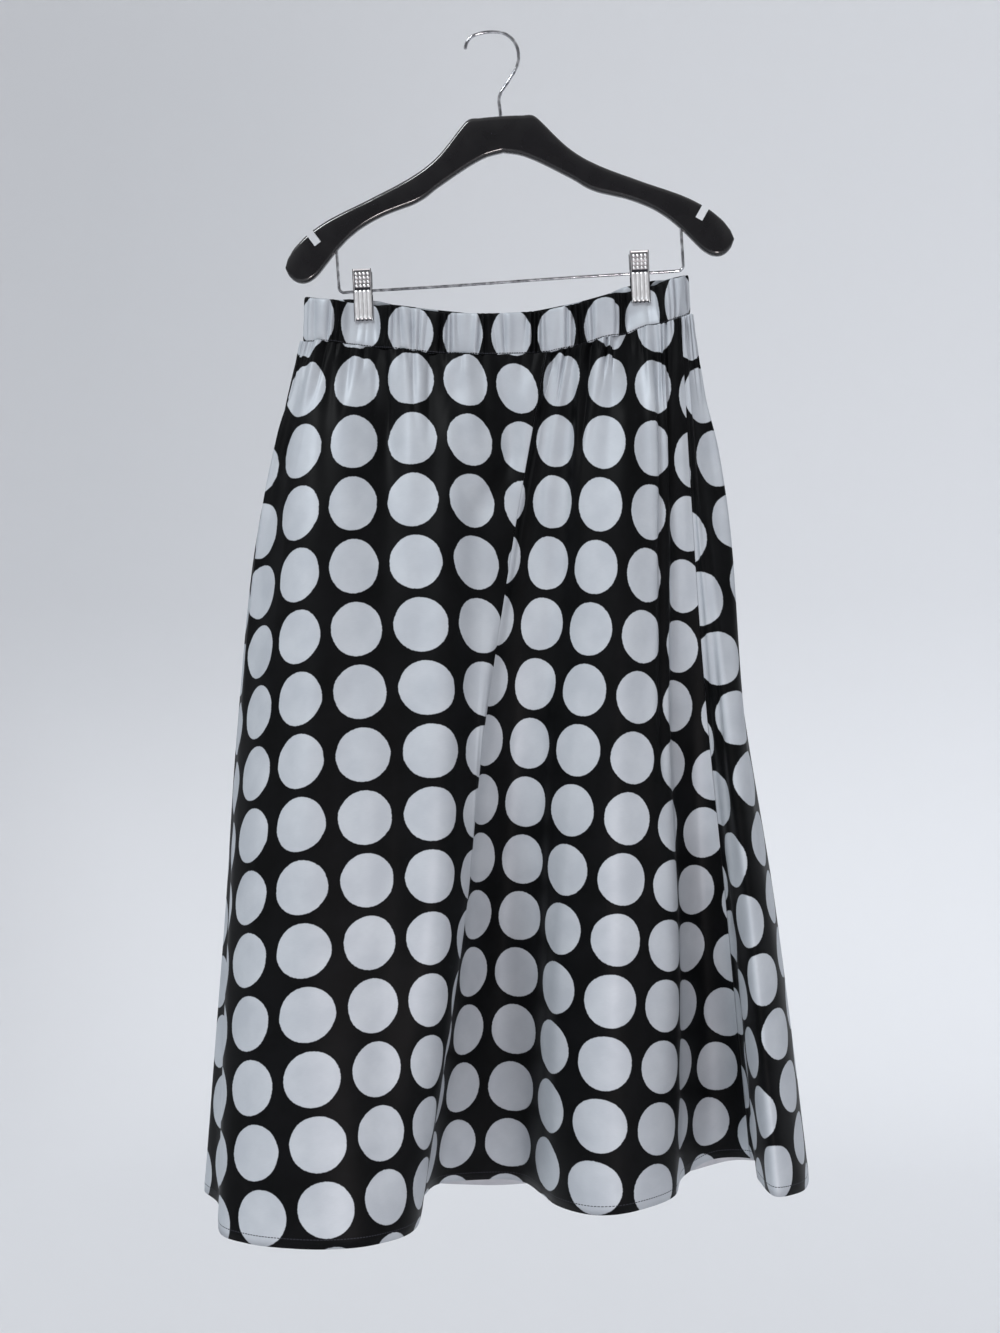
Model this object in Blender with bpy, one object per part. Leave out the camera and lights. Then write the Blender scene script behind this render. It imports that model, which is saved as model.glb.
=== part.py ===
"""A-line midi skirt with a gathered waistband, held by two clips on a trouser hanger.

Metres, +Z up, +X to the right of someone facing the front, which looks along -Y.
The origin is the inside of the hook's crown, where the hanger bears on its rail.
Every cloth wall is worked out from one table of fold lines that run from waist to hem.
"""

import math

import bpy
import numpy as np
from mathutils import Matrix, Vector

MM = 0.001

# Cloth
LEVELS = np.array((0.0, 0.22, 0.45, 0.70, 1.0))  # shares of the fall at which a fold is given
WALL = 1.2  # the panels' cloth, as a rigid wall
BAND_WALL = 2.6  # two layers of cloth over elastic
SEAM_GAP = 0.4
BAND_GATHERS = 85
PANEL_GATHERS = 42
BAND_GATHER_RISE = 1.1
PANEL_GATHER_RISE = 2.4
GATHER_FADE = 0.16  # share of the fall over which the gathers run out
COLUMNS_PER_GATHER = 4
PANEL_ROWS = (0.0, 0.02, 0.05, 0.09, 0.14, 0.20, 0.27, 0.35, 0.44, 0.53, 0.62, 0.71, 0.80, 0.90, 1.0)
BAND_NARROWING = 0.012  # how much shorter the band's top edge is than its stitch line
PINCH_AT_STITCHES = 0.5  # share of a clip's pinch that reaches the stitch line
PINCH_FADE = 0.12  # share of the fall over which the pinch runs out
NORMAL_STEP = 1e-3  # share of the loop, or half that of the fall, over which a normal is read

# Hanger
TILT = math.radians(3.75)  # the hanger's right end hangs higher
BODY_TOP = (8.0, -80.9)  # x and z of the top of the body's middle
BODY_THICK = 11.0
BODY_CORNER = 3.4
BODY_CORNER_SHARE = 0.45  # the most of the body's height that one corner takes
BODY_END_X = 217.0  # past it the body thins
BODY_END_THIN = 0.62
CORNER_TURNS = (0.0, 45.0, 90.0)
BODY_STEP = 2.0  # outline points nearer than this are dropped, but not past BODY_CLOSE_X
BODY_CLOSE_X = 211.0
HOOK_RADIUS = 1.6
HOOK_BORE_DEEP = 12.0
BAR_RADIUS = 1.45
BAR_HALF = 168.2
BAR_DROP = 161.4
BAR_CORNER = 5.0
BAR_CORNER_TURNS = (0.0, 22.5, 45.0, 67.5, 90.0)
BAR_TOP_DOWN = 113.0  # how far below the body's top the bar's ends are
BORE_CLEAR = 0.35
BORE_PAST_BAR = 1.0
BAR_BORE_DEEP = 28.0
HOOK_END_GAP = 1.5  # from the hook's end to the bottom of its bore
HOOK_BORE_OUT = 6.0
HOOK_POINTS = 44

# Clips
CLIP_X = (-126.3, 143.3)
CLIP_TILT = math.radians(2.5)
CLIP_HALF_WIDTH = 9.2
JAW_THICK = 1.0
PINCH_HALF = 3.4  # from the middle of the band to its outside, under a clip
PINCH_FLAT = 11.5  # either side of a clip's middle, where the band stays pressed
PINCH_REACH = 28.0

# Fold lines, one a row, anticlockwise from the left side as seen from above.
# name, z of the band's top, its stitch line and the hem, then x and y at each of LEVELS
FOLDS = (
    ("side_left", -257, -300, -1138, (-185, -229, -251, -266, -287), (0, 6, 12, 20, 34)),
    ("left_tuck", -258, -301, -1139, (-183, -225, -245, -257, -269), (-3, -8, -10, -6, 0)),
    ("left_lobe_edge", -259, -302, -1142, (-178, -217, -236, -246, -250), (-7, -24, -42, -66, -95)),
    ("left_lobe_rise", -261, -302, -1143, (-162, -195, -212, -224, -225), (-12, -42, -66, -92, -117)),
    ("left_lobe_crest", -264, -306, -1143, (-130, -146, -158, -165, -164), (-15, -54, -84, -110, -135)),
    ("left_lobe_fall", -269, -311, -1142, (-89, -91, -93, -99, -107), (-17, -55, -86, -108, -127)),
    ("left_lobe_turn", -275, -315, -1142, (-46, -44, -45, -54, -77), (-18, -48, -74, -90, -94)),
    ("left_fold_edge", -276, -316, -1142, (7, -4, -17, -31, -68), (-19, -36, -54, -58, -40)),
    ("front_seam", -273, -314, -1142, (52, 20, -9, -33, -67), (-18, -28, -46, -30, 30)),
    ("recess_left", -271, -312, -1144, (61, 28, 3, -22, -54), (-18, -26, -34, 0, 80)),
    ("recess_middle", -269, -310, -1145, (71, 40, 23, 10, -7), (-18, -26, -24, 24, 100)),
    ("recess_right", -267, -308, -1144, (81, 55, 47, 39, 28), (-19, -30, -30, 8, 88)),
    ("middle_lobe_rise", -264, -305, -1142, (92, 72, 62, 53, 48), (-20, -38, -43, -20, 35)),
    ("middle_lobe_left", -260, -300, -1140, (108, 93, 79, 66, 62), (-21, -44, -54, -46, -8)),
    ("middle_lobe_crest", -254, -296, -1136, (128, 127, 118, 109, 102), (-20, -47, -63, -68, -56)),
    ("middle_lobe_right", -249, -288, -1133, (147, 152, 151, 148, 140), (-18, -42, -57, -63, -50)),
    ("middle_lobe_edge", -246, -286, -1130, (160, 164, 167, 174, 175), (-17, -34, -46, -46, -15)),
    ("right_tuck", -244, -285, -1124, (166, 170, 174, 184, 190), (-15, -27, -28, -8, 35)),
    ("right_recess", -242, -282, -1117, (174, 180, 190, 207, 225), (-13, -22, -20, 10, 72)),
    ("right_rise", -240, -279, -1112, (182, 192, 206, 228, 258), (-10, -20, -20, -2, 55)),
    ("right_lobe_left", -238, -277, -1107, (187, 200, 216, 233, 254), (-7, -20, -28, -38, -40)),
    ("right_lobe_crest", -237, -275, -1104, (190, 209, 224, 243, 262), (-4, -17, -36, -70, -106)),
    ("right_lobe_fall", -236, -274, -1106, (192, 218, 235, 260, 286), (-2, -9, -26, -56, -85)),
    ("side_right", -236, -274, -1112, (193, 224, 243, 276, 308), (0, 2, 0, -4, 0)),
    ("back_right_turn", -235, -274, -1120, (189, 219, 245, 274, 303), (7, 30, 42, 50, 58)),
    ("back_right_crest", -239, -280, -1128, (166, 191, 212, 233, 254), (13, 46, 72, 94, 112)),
    ("back_right_dip", -248, -290, -1138, (127, 145, 157, 170, 184), (15, 48, 68, 82, 92)),
    ("back_middle_crest", -260, -303, -1150, (81, 90, 95, 102, 110), (16, 52, 84, 110, 132)),
    ("back_middle_dip", -271, -311, -1158, (12, 13, 11, 7, 5), (17, 52, 82, 106, 126)),
    ("back_left_crest", -267, -308, -1160, (-52, -63, -75, -82, -87), (17, 54, 88, 118, 142)),
    ("back_left_dip", -262, -306, -1154, (-95, -123, -145, -158, -168), (16, 48, 70, 88, 100)),
    ("back_left_rise", -259, -300, -1148, (-138, -176, -199, -216, -229), (12, 42, 70, 94, 114)),
    ("back_left_turn", -257, -299, -1142, (-175, -216, -238, -254, -270), (6, 26, 40, 54, 66)),
)
FOLD_NAMES = [row[0] for row in FOLDS]

# Half outline of the hanger's body in its own frame: x, and how far down its top and underside are
BODY_TOP_LINE = (
    (0.0, 0.0), (32.7, 2.0), (41.9, 11.7), (50.7, 22.4), (75.1, 44.9), (107.3, 61.4),
    (138.5, 75.1), (158.9, 82.9), (185.3, 97.5), (202.8, 110.2), (215.5, 124.8), (218.0, 130.0),
)
BODY_UNDER_LINE = (
    (0.0, 35.6), (17.6, 39.0), (42.9, 51.7), (68.3, 66.3), (88.7, 80.0), (118.0, 87.8),
    (146.3, 101.4), (169.7, 120.9), (188.2, 143.3), (200.9, 149.9), (212.0, 145.5), (218.0, 135.5),
)
NOTCH_AT = (191.6, 104.3)
NOTCH_WIDE = 7.5
NOTCH_DEEP = 11.0
NOTCH_LEAN = math.radians(33.0)

# Middle line of the hook's wire: x and z from the bearing point
HOOK_LINE = (
    (-26.6, -14.2), (-25.2, -9.2), (-20.9, -3.6), (-14.0, -0.3), (-7.0, 1.2), (0.0, 1.6), (7.4, 1.0),
    (14.0, -1.2), (20.0, -6.4), (24.0, -13.4), (25.4, -21.0), (24.8, -28.6), (22.2, -35.4), (17.0, -44.2),
    (12.0, -51.6), (8.2, -57.6), (6.4, -63.6), (7.0, -72.0), (7.8, -79.5),
)

# Side view of a clip's front jaw: height from the bar, and distance in front of it
JAW_LINE = (
    (20.5, 8.2), (14.0, 7.4), (7.0, 5.9), (2.0, 5.1), (-6.0, 4.8), (-16.0, 4.8), (-27.0, 4.8), (-30.0, 5.3),
)
EAR_HIGH = 3.6
EAR_THICK = 0.9
EAR_PAST_BAR = 1.6
EAR_REACH = 5.1  # from the bar's middle into the jaw's plate
FRONT_EAR_X = 8.7
BACK_EAR_X = 7.3
SPRING_RADIUS = 2.5
SPRING_WIRE = 0.45
SPRING_TURNS = 4
SPRING_HALF = 4.2
SPRING_STEPS = 8
SPRING_LEG = (0.6, 4.4, 12.0)  # past the coil, out from the bar, and up


def smooth(knots, values, at):
    """Values at each of `at`, on a cubic through the knots; values and at share their rows."""
    values = np.atleast_2d(values)
    at = np.broadcast_to(np.atleast_2d(at), (len(values), np.shape(at)[-1]))
    slopes = np.gradient(values, knots, axis=-1)
    i = np.clip(np.searchsorted(knots, at, side="right") - 1, 0, len(knots) - 2)
    width = knots[i + 1] - knots[i]
    t = (at - knots[i]) / width
    low = np.take_along_axis(values, i, -1)
    high = np.take_along_axis(values, i + 1, -1)
    low_slope = np.take_along_axis(slopes, i, -1) * width
    high_slope = np.take_along_axis(slopes, i + 1, -1) * width
    return (
        (2 * t**3 - 3 * t**2 + 1) * low
        + (t**3 - 2 * t**2 + t) * low_slope
        + (3 * t**2 - 2 * t**3) * high
        + (t**3 - t**2) * high_slope
    )


def ramp(value, start, end):
    """0 before start, 1 after end, and a smooth step between."""
    t = np.clip((value - start) / (end - start), 0.0, 1.0)
    return t * t * (3.0 - 2.0 * t)


def fold_knots():
    """Where each fold line sits round the skirt, from 0 to 1, by its mean distance from its neighbours."""
    x = np.array([row[4] for row in FOLDS], float)
    y = np.array([row[5] for row in FOLDS], float)
    steps = np.hypot(np.roll(x, -1, 0) - x, np.roll(y, -1, 0) - y).mean(axis=1)
    ends = np.cumsum(steps)
    return np.concatenate([[0.0], ends[:-1]]) / ends[-1]


KNOTS = fold_knots()


def round_loop(values, at):
    """A cubic round the closed loop of fold lines."""
    turns = np.concatenate([KNOTS[-3:] - 1.0, KNOTS, KNOTS[:3] + 1.0])
    values = np.atleast_2d(values)
    values = np.concatenate([values[:, -3:], values, values[:, :3]], axis=1)
    return smooth(turns, values, np.mod(at, 1.0))


def base_surface(at, fall):
    """Points of the ungathered cloth in mm.

    `at` runs round the skirt from 0 to 1, a row of it for each fall. `fall` is -1 at the band's top
    edge, 0 at its stitch line and 1 at the hem. Each fold line is first read at that fall, then the
    loop is closed through all of them. Under a clip the front and back are pressed together.
    """
    fall = np.asarray(fall, float)
    down = np.clip(fall, 0.0, 1.0)
    x_lines = smooth(LEVELS, np.array([row[4] for row in FOLDS], float), down[None, :]).T
    y_lines = smooth(LEVELS, np.array([row[5] for row in FOLDS], float), down[None, :]).T
    heights = np.array([row[1:4] for row in FOLDS], float).T
    top, stitch, hem = (round_loop(line, at.reshape(1, -1)).reshape(at.shape) for line in heights)
    x = round_loop(x_lines, at)
    y = round_loop(y_lines, at)
    band = np.clip(-fall, 0.0, 1.0)[:, None]
    x = x * (1.0 - BAND_NARROWING * band)
    z = stitch + (top - stitch) * band + (hem - stitch) * down[:, None]
    held = 1.0 - (1.0 - PINCH_AT_STITCHES) * ramp(fall, -0.5, 0.0)
    held = held * (1.0 - ramp(fall, 0.0, PINCH_FADE))
    for clip_x in CLIP_X:
        near = (1.0 - ramp(np.abs(x - clip_x), PINCH_FLAT, PINCH_REACH)) * held[:, None]
        pressed = np.sign(y) * np.minimum(np.abs(y), PINCH_HALF)
        y = y + (pressed - y) * near
    return np.stack([x, y, z], axis=-1)


def outward(at, fall):
    """Unit normals of the ungathered cloth, pointing out of the skirt."""
    round_step = base_surface(at + NORMAL_STEP, fall) - base_surface(at - NORMAL_STEP, fall)
    low = np.clip(fall - 2 * NORMAL_STEP, -1.0, 1.0)
    high = np.clip(fall + 2 * NORMAL_STEP, -1.0, 1.0)
    down_step = base_surface(at, high) - base_surface(at, low)
    normal = np.cross(down_step, round_step)
    return normal / np.linalg.norm(normal, axis=-1, keepdims=True)


def waist_places():
    """Where on the loop each even share of the stitch line's length falls."""
    at = np.linspace(0.0, 1.0, 2001)
    loop = base_surface(at[None, :], np.array([0.0]))[0]
    length = np.concatenate([[0.0], np.cumsum(np.linalg.norm(np.diff(loop, axis=0), axis=1))])
    return at, length / length[-1]


def near_clip(x):
    """1 under a clip, falling to 0 away from both."""
    return sum(1.0 - ramp(np.abs(x - clip_x), PINCH_FLAT, PINCH_REACH) for clip_x in CLIP_X)


def panel_gather(at, fall, x):
    """How far the gathers below the stitch line stand out, running out down the panel.

    Their height swells and shrinks round the skirt as two sines of whole turns.
    """
    size = 0.72 + 0.2 * np.sin(2 * math.pi * 5 * at + 0.7) + 0.14 * np.sin(2 * math.pi * 11 * at)
    fade = (1.0 - ramp(fall, 0.0, GATHER_FADE)) * (1.0 - 0.5 * near_clip(x))
    return PANEL_GATHER_RISE * size * fade * (0.5 + 0.5 * np.cos(2 * math.pi * PANEL_GATHERS * at))


def new_object(name, points, faces, material, collection, shaded_smooth=True):
    mesh = bpy.data.meshes.new(name)
    mesh.from_pydata([tuple(p) for p in np.asarray(points) * MM], [], faces)
    mesh.validate()
    mesh.update()
    obj = bpy.data.objects.new(name, mesh)
    obj.data.materials.append(material)
    collection.objects.link(obj)
    for polygon in mesh.polygons:
        polygon.use_smooth = shaded_smooth
    return obj


def grid_faces(rows, columns, closed, start=0, flipped=False):
    """Quads of a grid whose points are numbered along each row."""
    faces = []
    for i in range(rows - 1):
        for j in range(columns if closed else columns - 1):
            k = (j + 1) % columns
            corners = (i * columns + j, i * columns + k, (i + 1) * columns + k, (i + 1) * columns + j)
            corners = tuple(start + c for c in corners)
            faces.append(corners[::-1] if flipped else corners)
    return faces


def wall_solid(name, outer, inner, material, collection):
    """A closed wall between two open grids of the same shape."""
    rows, columns, _ = outer.shape
    count = rows * columns
    faces = grid_faces(rows, columns, False, flipped=True)
    faces += grid_faces(rows, columns, False, start=count)
    for j in range(columns - 1):
        top = (j, j + 1, count + j + 1, count + j)
        low = (rows - 1) * columns
        faces.append(top)
        faces.append((low + j + 1, low + j, count + low + j, count + low + j + 1))
    for i in range(rows - 1):
        left = i * columns
        right = left + columns - 1
        faces.append((left + columns, left, count + left, count + left + columns))
        faces.append((right, right + columns, count + right + columns, count + right))
    points = np.concatenate([outer.reshape(-1, 3), inner.reshape(-1, 3)])
    return new_object(name, points, faces, material, collection)


def panel(name, first, last, columns, material, collection):
    """One panel between two places on the loop, held half the seam gap back from each."""
    fall = np.array(PANEL_ROWS)
    ends = []
    for seam, side in ((first, 1.0), (last, -1.0)):
        place = np.full((len(fall), 1), seam)
        ahead = base_surface(place + NORMAL_STEP, fall) - base_surface(place - NORMAL_STEP, fall)
        per_mm = 2 * NORMAL_STEP / np.linalg.norm(ahead[:, 0], axis=1)
        ends.append(place[:, 0] + side * SEAM_GAP / 2 * per_mm)
    share = np.linspace(0.0, 1.0, columns)[None, :]
    at = ends[0][:, None] + (ends[1] - ends[0])[:, None] * share
    normal = outward(at, fall)
    base = base_surface(at, fall)
    outer = base + normal * panel_gather(at, fall[:, None], base[..., 0])[..., None]
    inner = outer - normal * WALL
    below = np.where(fall == 0.0, SEAM_GAP, 0.0)[:, None]
    outer[..., 2] -= below
    inner[..., 2] -= below
    return wall_solid(name, outer, inner, material, collection)


def waistband(material, collection):
    """The gathered casing: puckers on its outside over a plain inside."""
    columns = BAND_GATHERS * COLUMNS_PER_GATHER
    places, share = waist_places()
    even = (np.arange(columns) + 0.5) / columns
    at = np.interp(even, share, places)[None, :]
    # fall, how much of the pucker shows, how far in from the outside
    ring = (
        (-1.0, 0.35, 0.5),
        (-0.5, 1.0, 0.0),
        (0.0, 0.55, 0.2),
        (0.0, 0.0, BAND_WALL),
        (-1.0, 0.0, BAND_WALL),
    )
    rows = []
    for fall, shows, depth in ring:
        fall = np.array([fall])
        base = base_surface(at, fall)
        size = 0.75 + 0.25 * np.sin(2 * math.pi * 13 * even + 1.0)
        wave = 0.5 + 0.5 * np.cos(2 * math.pi * BAND_GATHERS * even)
        rise = BAND_GATHER_RISE * size * wave * shows * (1.0 - 0.6 * near_clip(base[..., 0]))
        rows.append(base + outward(at, fall) * (rise - depth)[..., None])
    points = np.concatenate(rows)
    faces = grid_faces(len(ring), columns, True, flipped=True)
    last = (len(ring) - 1) * columns
    for j in range(columns):
        k = (j + 1) % columns
        faces.append((last + k, last + j, j, k))
    return new_object("waistband", points.reshape(-1, 3), faces, material, collection)


def hanger_frame(points):
    """Points given as x, y and height in the hanger's own frame, tilted and set below the hook."""
    points = np.asarray(points, float)
    x = BODY_TOP[0] + points[:, 0] * math.cos(TILT) - points[:, 2] * math.sin(TILT)
    z = BODY_TOP[1] + points[:, 0] * math.sin(TILT) + points[:, 2] * math.cos(TILT)
    return np.stack([x, points[:, 1], z], axis=-1)


def mirrored_line(line, at):
    x, down = np.array(line).T
    x = np.concatenate([-x[:0:-1], x])
    down = np.concatenate([down[:0:-1], down])
    return -np.interp(at, x, down)


def hanger_body(material, collection):
    """A rounded bar whose top and underside follow the two outline tables."""
    xs = sorted({round(v, 1) for line in (BODY_TOP_LINE, BODY_UNDER_LINE) for v, _ in line})
    xs = [x for i, x in enumerate(xs) if i == 0 or x - xs[i - 1] > BODY_STEP or x > BODY_CLOSE_X]
    xs = np.array([-x for x in xs[:0:-1]] + xs)
    top = mirrored_line(BODY_TOP_LINE, xs)
    under = mirrored_line(BODY_UNDER_LINE, xs)
    half = BODY_THICK / 2
    rings = []
    for x, high, low in zip(xs, top, under):
        corner = min(BODY_CORNER, BODY_CORNER_SHARE * (high - low))
        end = BODY_END_THIN if abs(x) > BODY_END_X else 1.0
        for side_y, side_z, start in ((1, 1, 0.0), (-1, 1, 90.0), (-1, -1, 180.0), (1, -1, 270.0)):
            for turn in CORNER_TURNS:
                angle = math.radians(start + turn)
                y = side_y * (half * end - corner) + corner * math.cos(angle)
                middle = (high - corner) if side_z > 0 else (low + corner)
                rings.append((x, y, middle + corner * math.sin(angle)))
    count = 4 * len(CORNER_TURNS)
    points = hanger_frame(rings)
    faces = grid_faces(len(xs), count, True)
    faces.append(tuple(range(count - 1, -1, -1)))
    faces.append(tuple(range(len(points) - count, len(points))))
    return new_object("hanger_body", points, faces, material, collection)


def box(name, size, matrix, material, collection):
    corners = [
        (sx * size[0] / 2, sy * size[1] / 2, sz * size[2] / 2)
        for sx in (-1, 1) for sy in (-1, 1) for sz in (-1, 1)
    ]
    points = [matrix @ Vector(c) for c in corners]
    faces = [(0, 1, 3, 2), (4, 6, 7, 5), (0, 4, 5, 1), (2, 3, 7, 6), (0, 2, 6, 4), (1, 5, 7, 3)]
    return new_object(name, points, faces, material, collection, shaded_smooth=False)


def rod(name, start, end, radius, material, collection, sides=16):
    """A closed cylinder between two points."""
    start = np.asarray(start, float)
    along = np.asarray(end, float) - start
    length = np.linalg.norm(along)
    along = along / length
    aside = np.cross(along, (0.0, 1.0, 0.0) if abs(along[1]) < 0.9 else (1.0, 0.0, 0.0))
    aside = aside / np.linalg.norm(aside)
    other = np.cross(along, aside)
    angle = np.arange(sides) * 2 * math.pi / sides
    ring = radius * (np.cos(angle)[:, None] * aside + np.sin(angle)[:, None] * other)
    points = np.concatenate([start + ring, start + along * length + ring])
    faces = grid_faces(2, sides, True)
    faces.append(tuple(range(sides - 1, -1, -1)))
    faces.append(tuple(range(sides, 2 * sides)))
    return new_object(name, points, faces, material, collection, shaded_smooth=False)


def combine(obj, other, operation):
    modifier = obj.modifiers.new(operation.title() + " " + other.name, "BOOLEAN")
    modifier.object = other
    modifier.operation = operation
    modifier.solver = "EXACT"


def wire(name, points, radius, material, collection, resolution=2):
    curve = bpy.data.curves.new(name, "CURVE")
    curve.dimensions = "3D"
    curve.bevel_depth = radius * MM
    curve.bevel_resolution = resolution
    curve.use_fill_caps = True
    spline = curve.splines.new("POLY")
    spline.points.add(len(points) - 1)
    for point, place in zip(spline.points, points):
        point.co = (*(np.asarray(place) * MM), 1.0)
    obj = bpy.data.objects.new(name, curve)
    curve.materials.append(material)
    collection.objects.link(obj)
    return obj


def eased(points, count):
    """Points spread evenly along a smooth line through the given ones."""
    points = np.asarray(points, float)
    along = np.concatenate([[0.0], np.cumsum(np.linalg.norm(np.diff(points, axis=0), axis=1))])
    return smooth(along, points.T, np.linspace(0.0, along[-1], count)[None, :]).T


def bar_points():
    """The clip bar's line: up into the body at each end, with round corners below."""
    side = []
    for turn in BAR_CORNER_TURNS:
        angle = math.radians(turn)
        x = BAR_HALF - BAR_CORNER * (1.0 - math.cos(angle))
        side.append((x, 0.0, -BAR_DROP + BAR_CORNER * (1.0 - math.sin(angle))))
    top = [(BAR_HALF, 0.0, -BAR_TOP_DOWN)]
    right = top + side
    left = [(-x, y, z) for x, y, z in right]
    return hanger_frame(left + right[::-1])


def clip_matrix(clip_x):
    """A clip's own frame: its origin on the bar's middle line, x along the bar."""
    along = (clip_x - BODY_TOP[0] - BAR_DROP * math.sin(TILT)) / math.cos(TILT)
    place = hanger_frame([(along, 0.0, -BAR_DROP)])[0]
    return Matrix.Translation(Vector(place)) @ Matrix.Rotation(-CLIP_TILT, 4, "Y")


def jaw(name, clip_x, side, ear_x, metal, collection, cutters):
    """One jaw: a bent plate with two ears that the bar runs through. side is -1 in front, 1 behind."""
    matrix = clip_matrix(clip_x)
    z, y = np.array(JAW_LINE).T
    across = np.array((-CLIP_HALF_WIDTH, CLIP_HALF_WIDTH))
    grids = []
    for depth in (JAW_THICK / 2, -JAW_THICK / 2):
        grid = [
            [matrix @ Vector((x, side * (out + depth), up)) for x in across * -side]
            for up, out in zip(z, y)
        ]
        grids.append(np.array([[tuple(p) for p in row] for row in grid]))
    plate = wall_solid(name, grids[0], grids[1], metal, collection)
    reach = (-side * (BAR_RADIUS + EAR_PAST_BAR), side * EAR_REACH)
    for number, x in enumerate((-ear_x, ear_x)):
        shift = Matrix.Translation((x, (reach[0] + reach[1]) / 2, 0.0))
        size = (EAR_THICK, abs(reach[1] - reach[0]), 2 * EAR_HIGH)
        ear = box(f"{name}_ear_{number}", size, matrix @ shift, metal, cutters)
        combine(plate, ear, "UNION")
    past = CLIP_HALF_WIDTH + BAR_RADIUS
    ends = [tuple(matrix @ Vector((x, 0.0, 0.0))) for x in (-past, past)]
    bore = rod(f"{name}_bore", ends[0], ends[1], BAR_RADIUS + BORE_CLEAR, metal, cutters)
    combine(plate, bore, "DIFFERENCE")
    return plate


def spring(name, clip_x, metal, collection):
    """A coil round the bar, between the ears, with a leg up inside each jaw."""
    matrix = clip_matrix(clip_x)
    points = SPRING_STEPS * SPRING_TURNS + SPRING_STEPS // 2 + 1
    angle = np.linspace(0.0, 2 * math.pi * SPRING_TURNS + math.pi, points)
    x = np.linspace(-SPRING_HALF, SPRING_HALF, len(angle))
    y = -SPRING_RADIUS * np.cos(angle)
    z = SPRING_RADIUS * np.sin(angle)
    past, out, up = SPRING_LEG
    coil = [(-SPRING_HALF - past, -out, up)] + list(zip(x, y, z)) + [(SPRING_HALF + past, out, up)]
    points = [tuple(matrix @ Vector(p)) for p in coil]
    return wire(name, points, SPRING_WIRE, metal, collection, resolution=1)


def principled(name, colour, roughness, metallic):
    material = bpy.data.materials.new(name)
    material.use_nodes = True
    shader = material.node_tree.nodes["Principled BSDF"]
    shader.inputs["Base Color"].default_value = (*colour, 1.0)
    shader.inputs["Roughness"].default_value = roughness
    shader.inputs["Metallic"].default_value = metallic
    material.diffuse_color = (*colour, 1.0)
    return material


def new_collection(name):
    collection = bpy.data.collections.new(name)
    bpy.context.scene.collection.children.link(collection)
    return collection


def main():
    for obj in list(bpy.data.objects):
        bpy.data.objects.remove(obj, do_unlink=True)
    skirt = new_collection("a-line midi skirt")
    cutters = new_collection("cutters")
    satin = (0.012, 0.013, 0.016)
    chrome = (0.72, 0.73, 0.75)

    waistband(principled("band satin", satin, 0.42, 0.0), skirt)
    front = KNOTS[FOLD_NAMES.index("front_seam")]
    right = KNOTS[FOLD_NAMES.index("right_rise")]
    left = KNOTS[FOLD_NAMES.index("side_left")]
    total = PANEL_GATHERS * COLUMNS_PER_GATHER
    for name, first, last in (
        ("front_left_panel", left, front),
        ("front_right_panel", front, right),
        ("back_panel", right, left + 1.0),
    ):
        cloth = principled(name.replace("_", " ") + " satin", satin, 0.42, 0.0)
        panel(name, first, last, round((last - first) * total), cloth, skirt)

    body = hanger_body(principled("hanger gloss", (0.009, 0.008, 0.010), 0.22, 0.0), skirt)
    dark = body.data.materials[0]
    for side in (-1, 1):
        x, down = NOTCH_AT
        middle = hanger_frame([(side * x, 0.0, -down)])[0]
        turned = Matrix.Translation(Vector(middle)) @ Matrix.Rotation(side * NOTCH_LEAN - TILT, 4, "Y")
        slot = box(f"notch_{side}", (NOTCH_WIDE, 2 * BODY_THICK, 2 * NOTCH_DEEP), turned, dark, cutters)
        combine(body, slot, "DIFFERENCE")
        bore_top = -BAR_TOP_DOWN + BORE_PAST_BAR
        bore_line = [(side * BAR_HALF, 0.0, z) for z in (bore_top - BAR_BORE_DEEP, bore_top)]
        ends = hanger_frame(bore_line)
        bore = rod(f"bar_bore_{side}", ends[0], ends[1], BAR_RADIUS + BORE_CLEAR, dark, cutters)
        combine(body, bore, "DIFFERENCE")
    hook = [(x, 0.0, z) for x, z in HOOK_LINE]
    last = np.array(hook[-1])
    hook.append(tuple(last + (0.0, 0.0, HOOK_END_GAP - HOOK_BORE_DEEP)))
    ends = (last + (0.0, 0.0, HOOK_BORE_OUT), last + (0.0, 0.0, -HOOK_BORE_DEEP))
    combine(body, rod("hook_bore", ends[0], ends[1], HOOK_RADIUS + BORE_CLEAR, dark, cutters), "DIFFERENCE")
    hook_chrome = principled("hook chrome", chrome, 0.16, 1.0)
    wire("hanger_hook", eased(hook, HOOK_POINTS), HOOK_RADIUS, hook_chrome, skirt)
    wire("clip_bar", bar_points(), BAR_RADIUS, principled("bar chrome", chrome, 0.18, 1.0), skirt)

    for side, clip_x in zip(("left", "right"), CLIP_X):
        for face, turn, ear_x in (("front", -1, FRONT_EAR_X), ("back", 1, BACK_EAR_X)):
            name = f"clip_{side}_{face}"
            metal = principled(name.replace("_", " ") + " chrome", chrome, 0.2, 1.0)
            jaw(name, clip_x, turn, ear_x, metal, skirt, cutters)
        steel = principled(f"spring {side} steel", (0.55, 0.56, 0.58), 0.3, 1.0)
        spring(f"clip_{side}_spring", clip_x, steel, skirt)

    for obj in cutters.objects:
        obj.hide_render = True
        obj.display_type = "WIRE"


main()
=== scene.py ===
"""Looks of an a-line midi skirt in dotted satin, hung by two clips on a shaped hanger.

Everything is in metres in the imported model's frame: +Z up, the front looks along -Y, and the
origin is the inside of the hook's crown. Cloth shapes are worked out in millimetres first.
"""

import math

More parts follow.
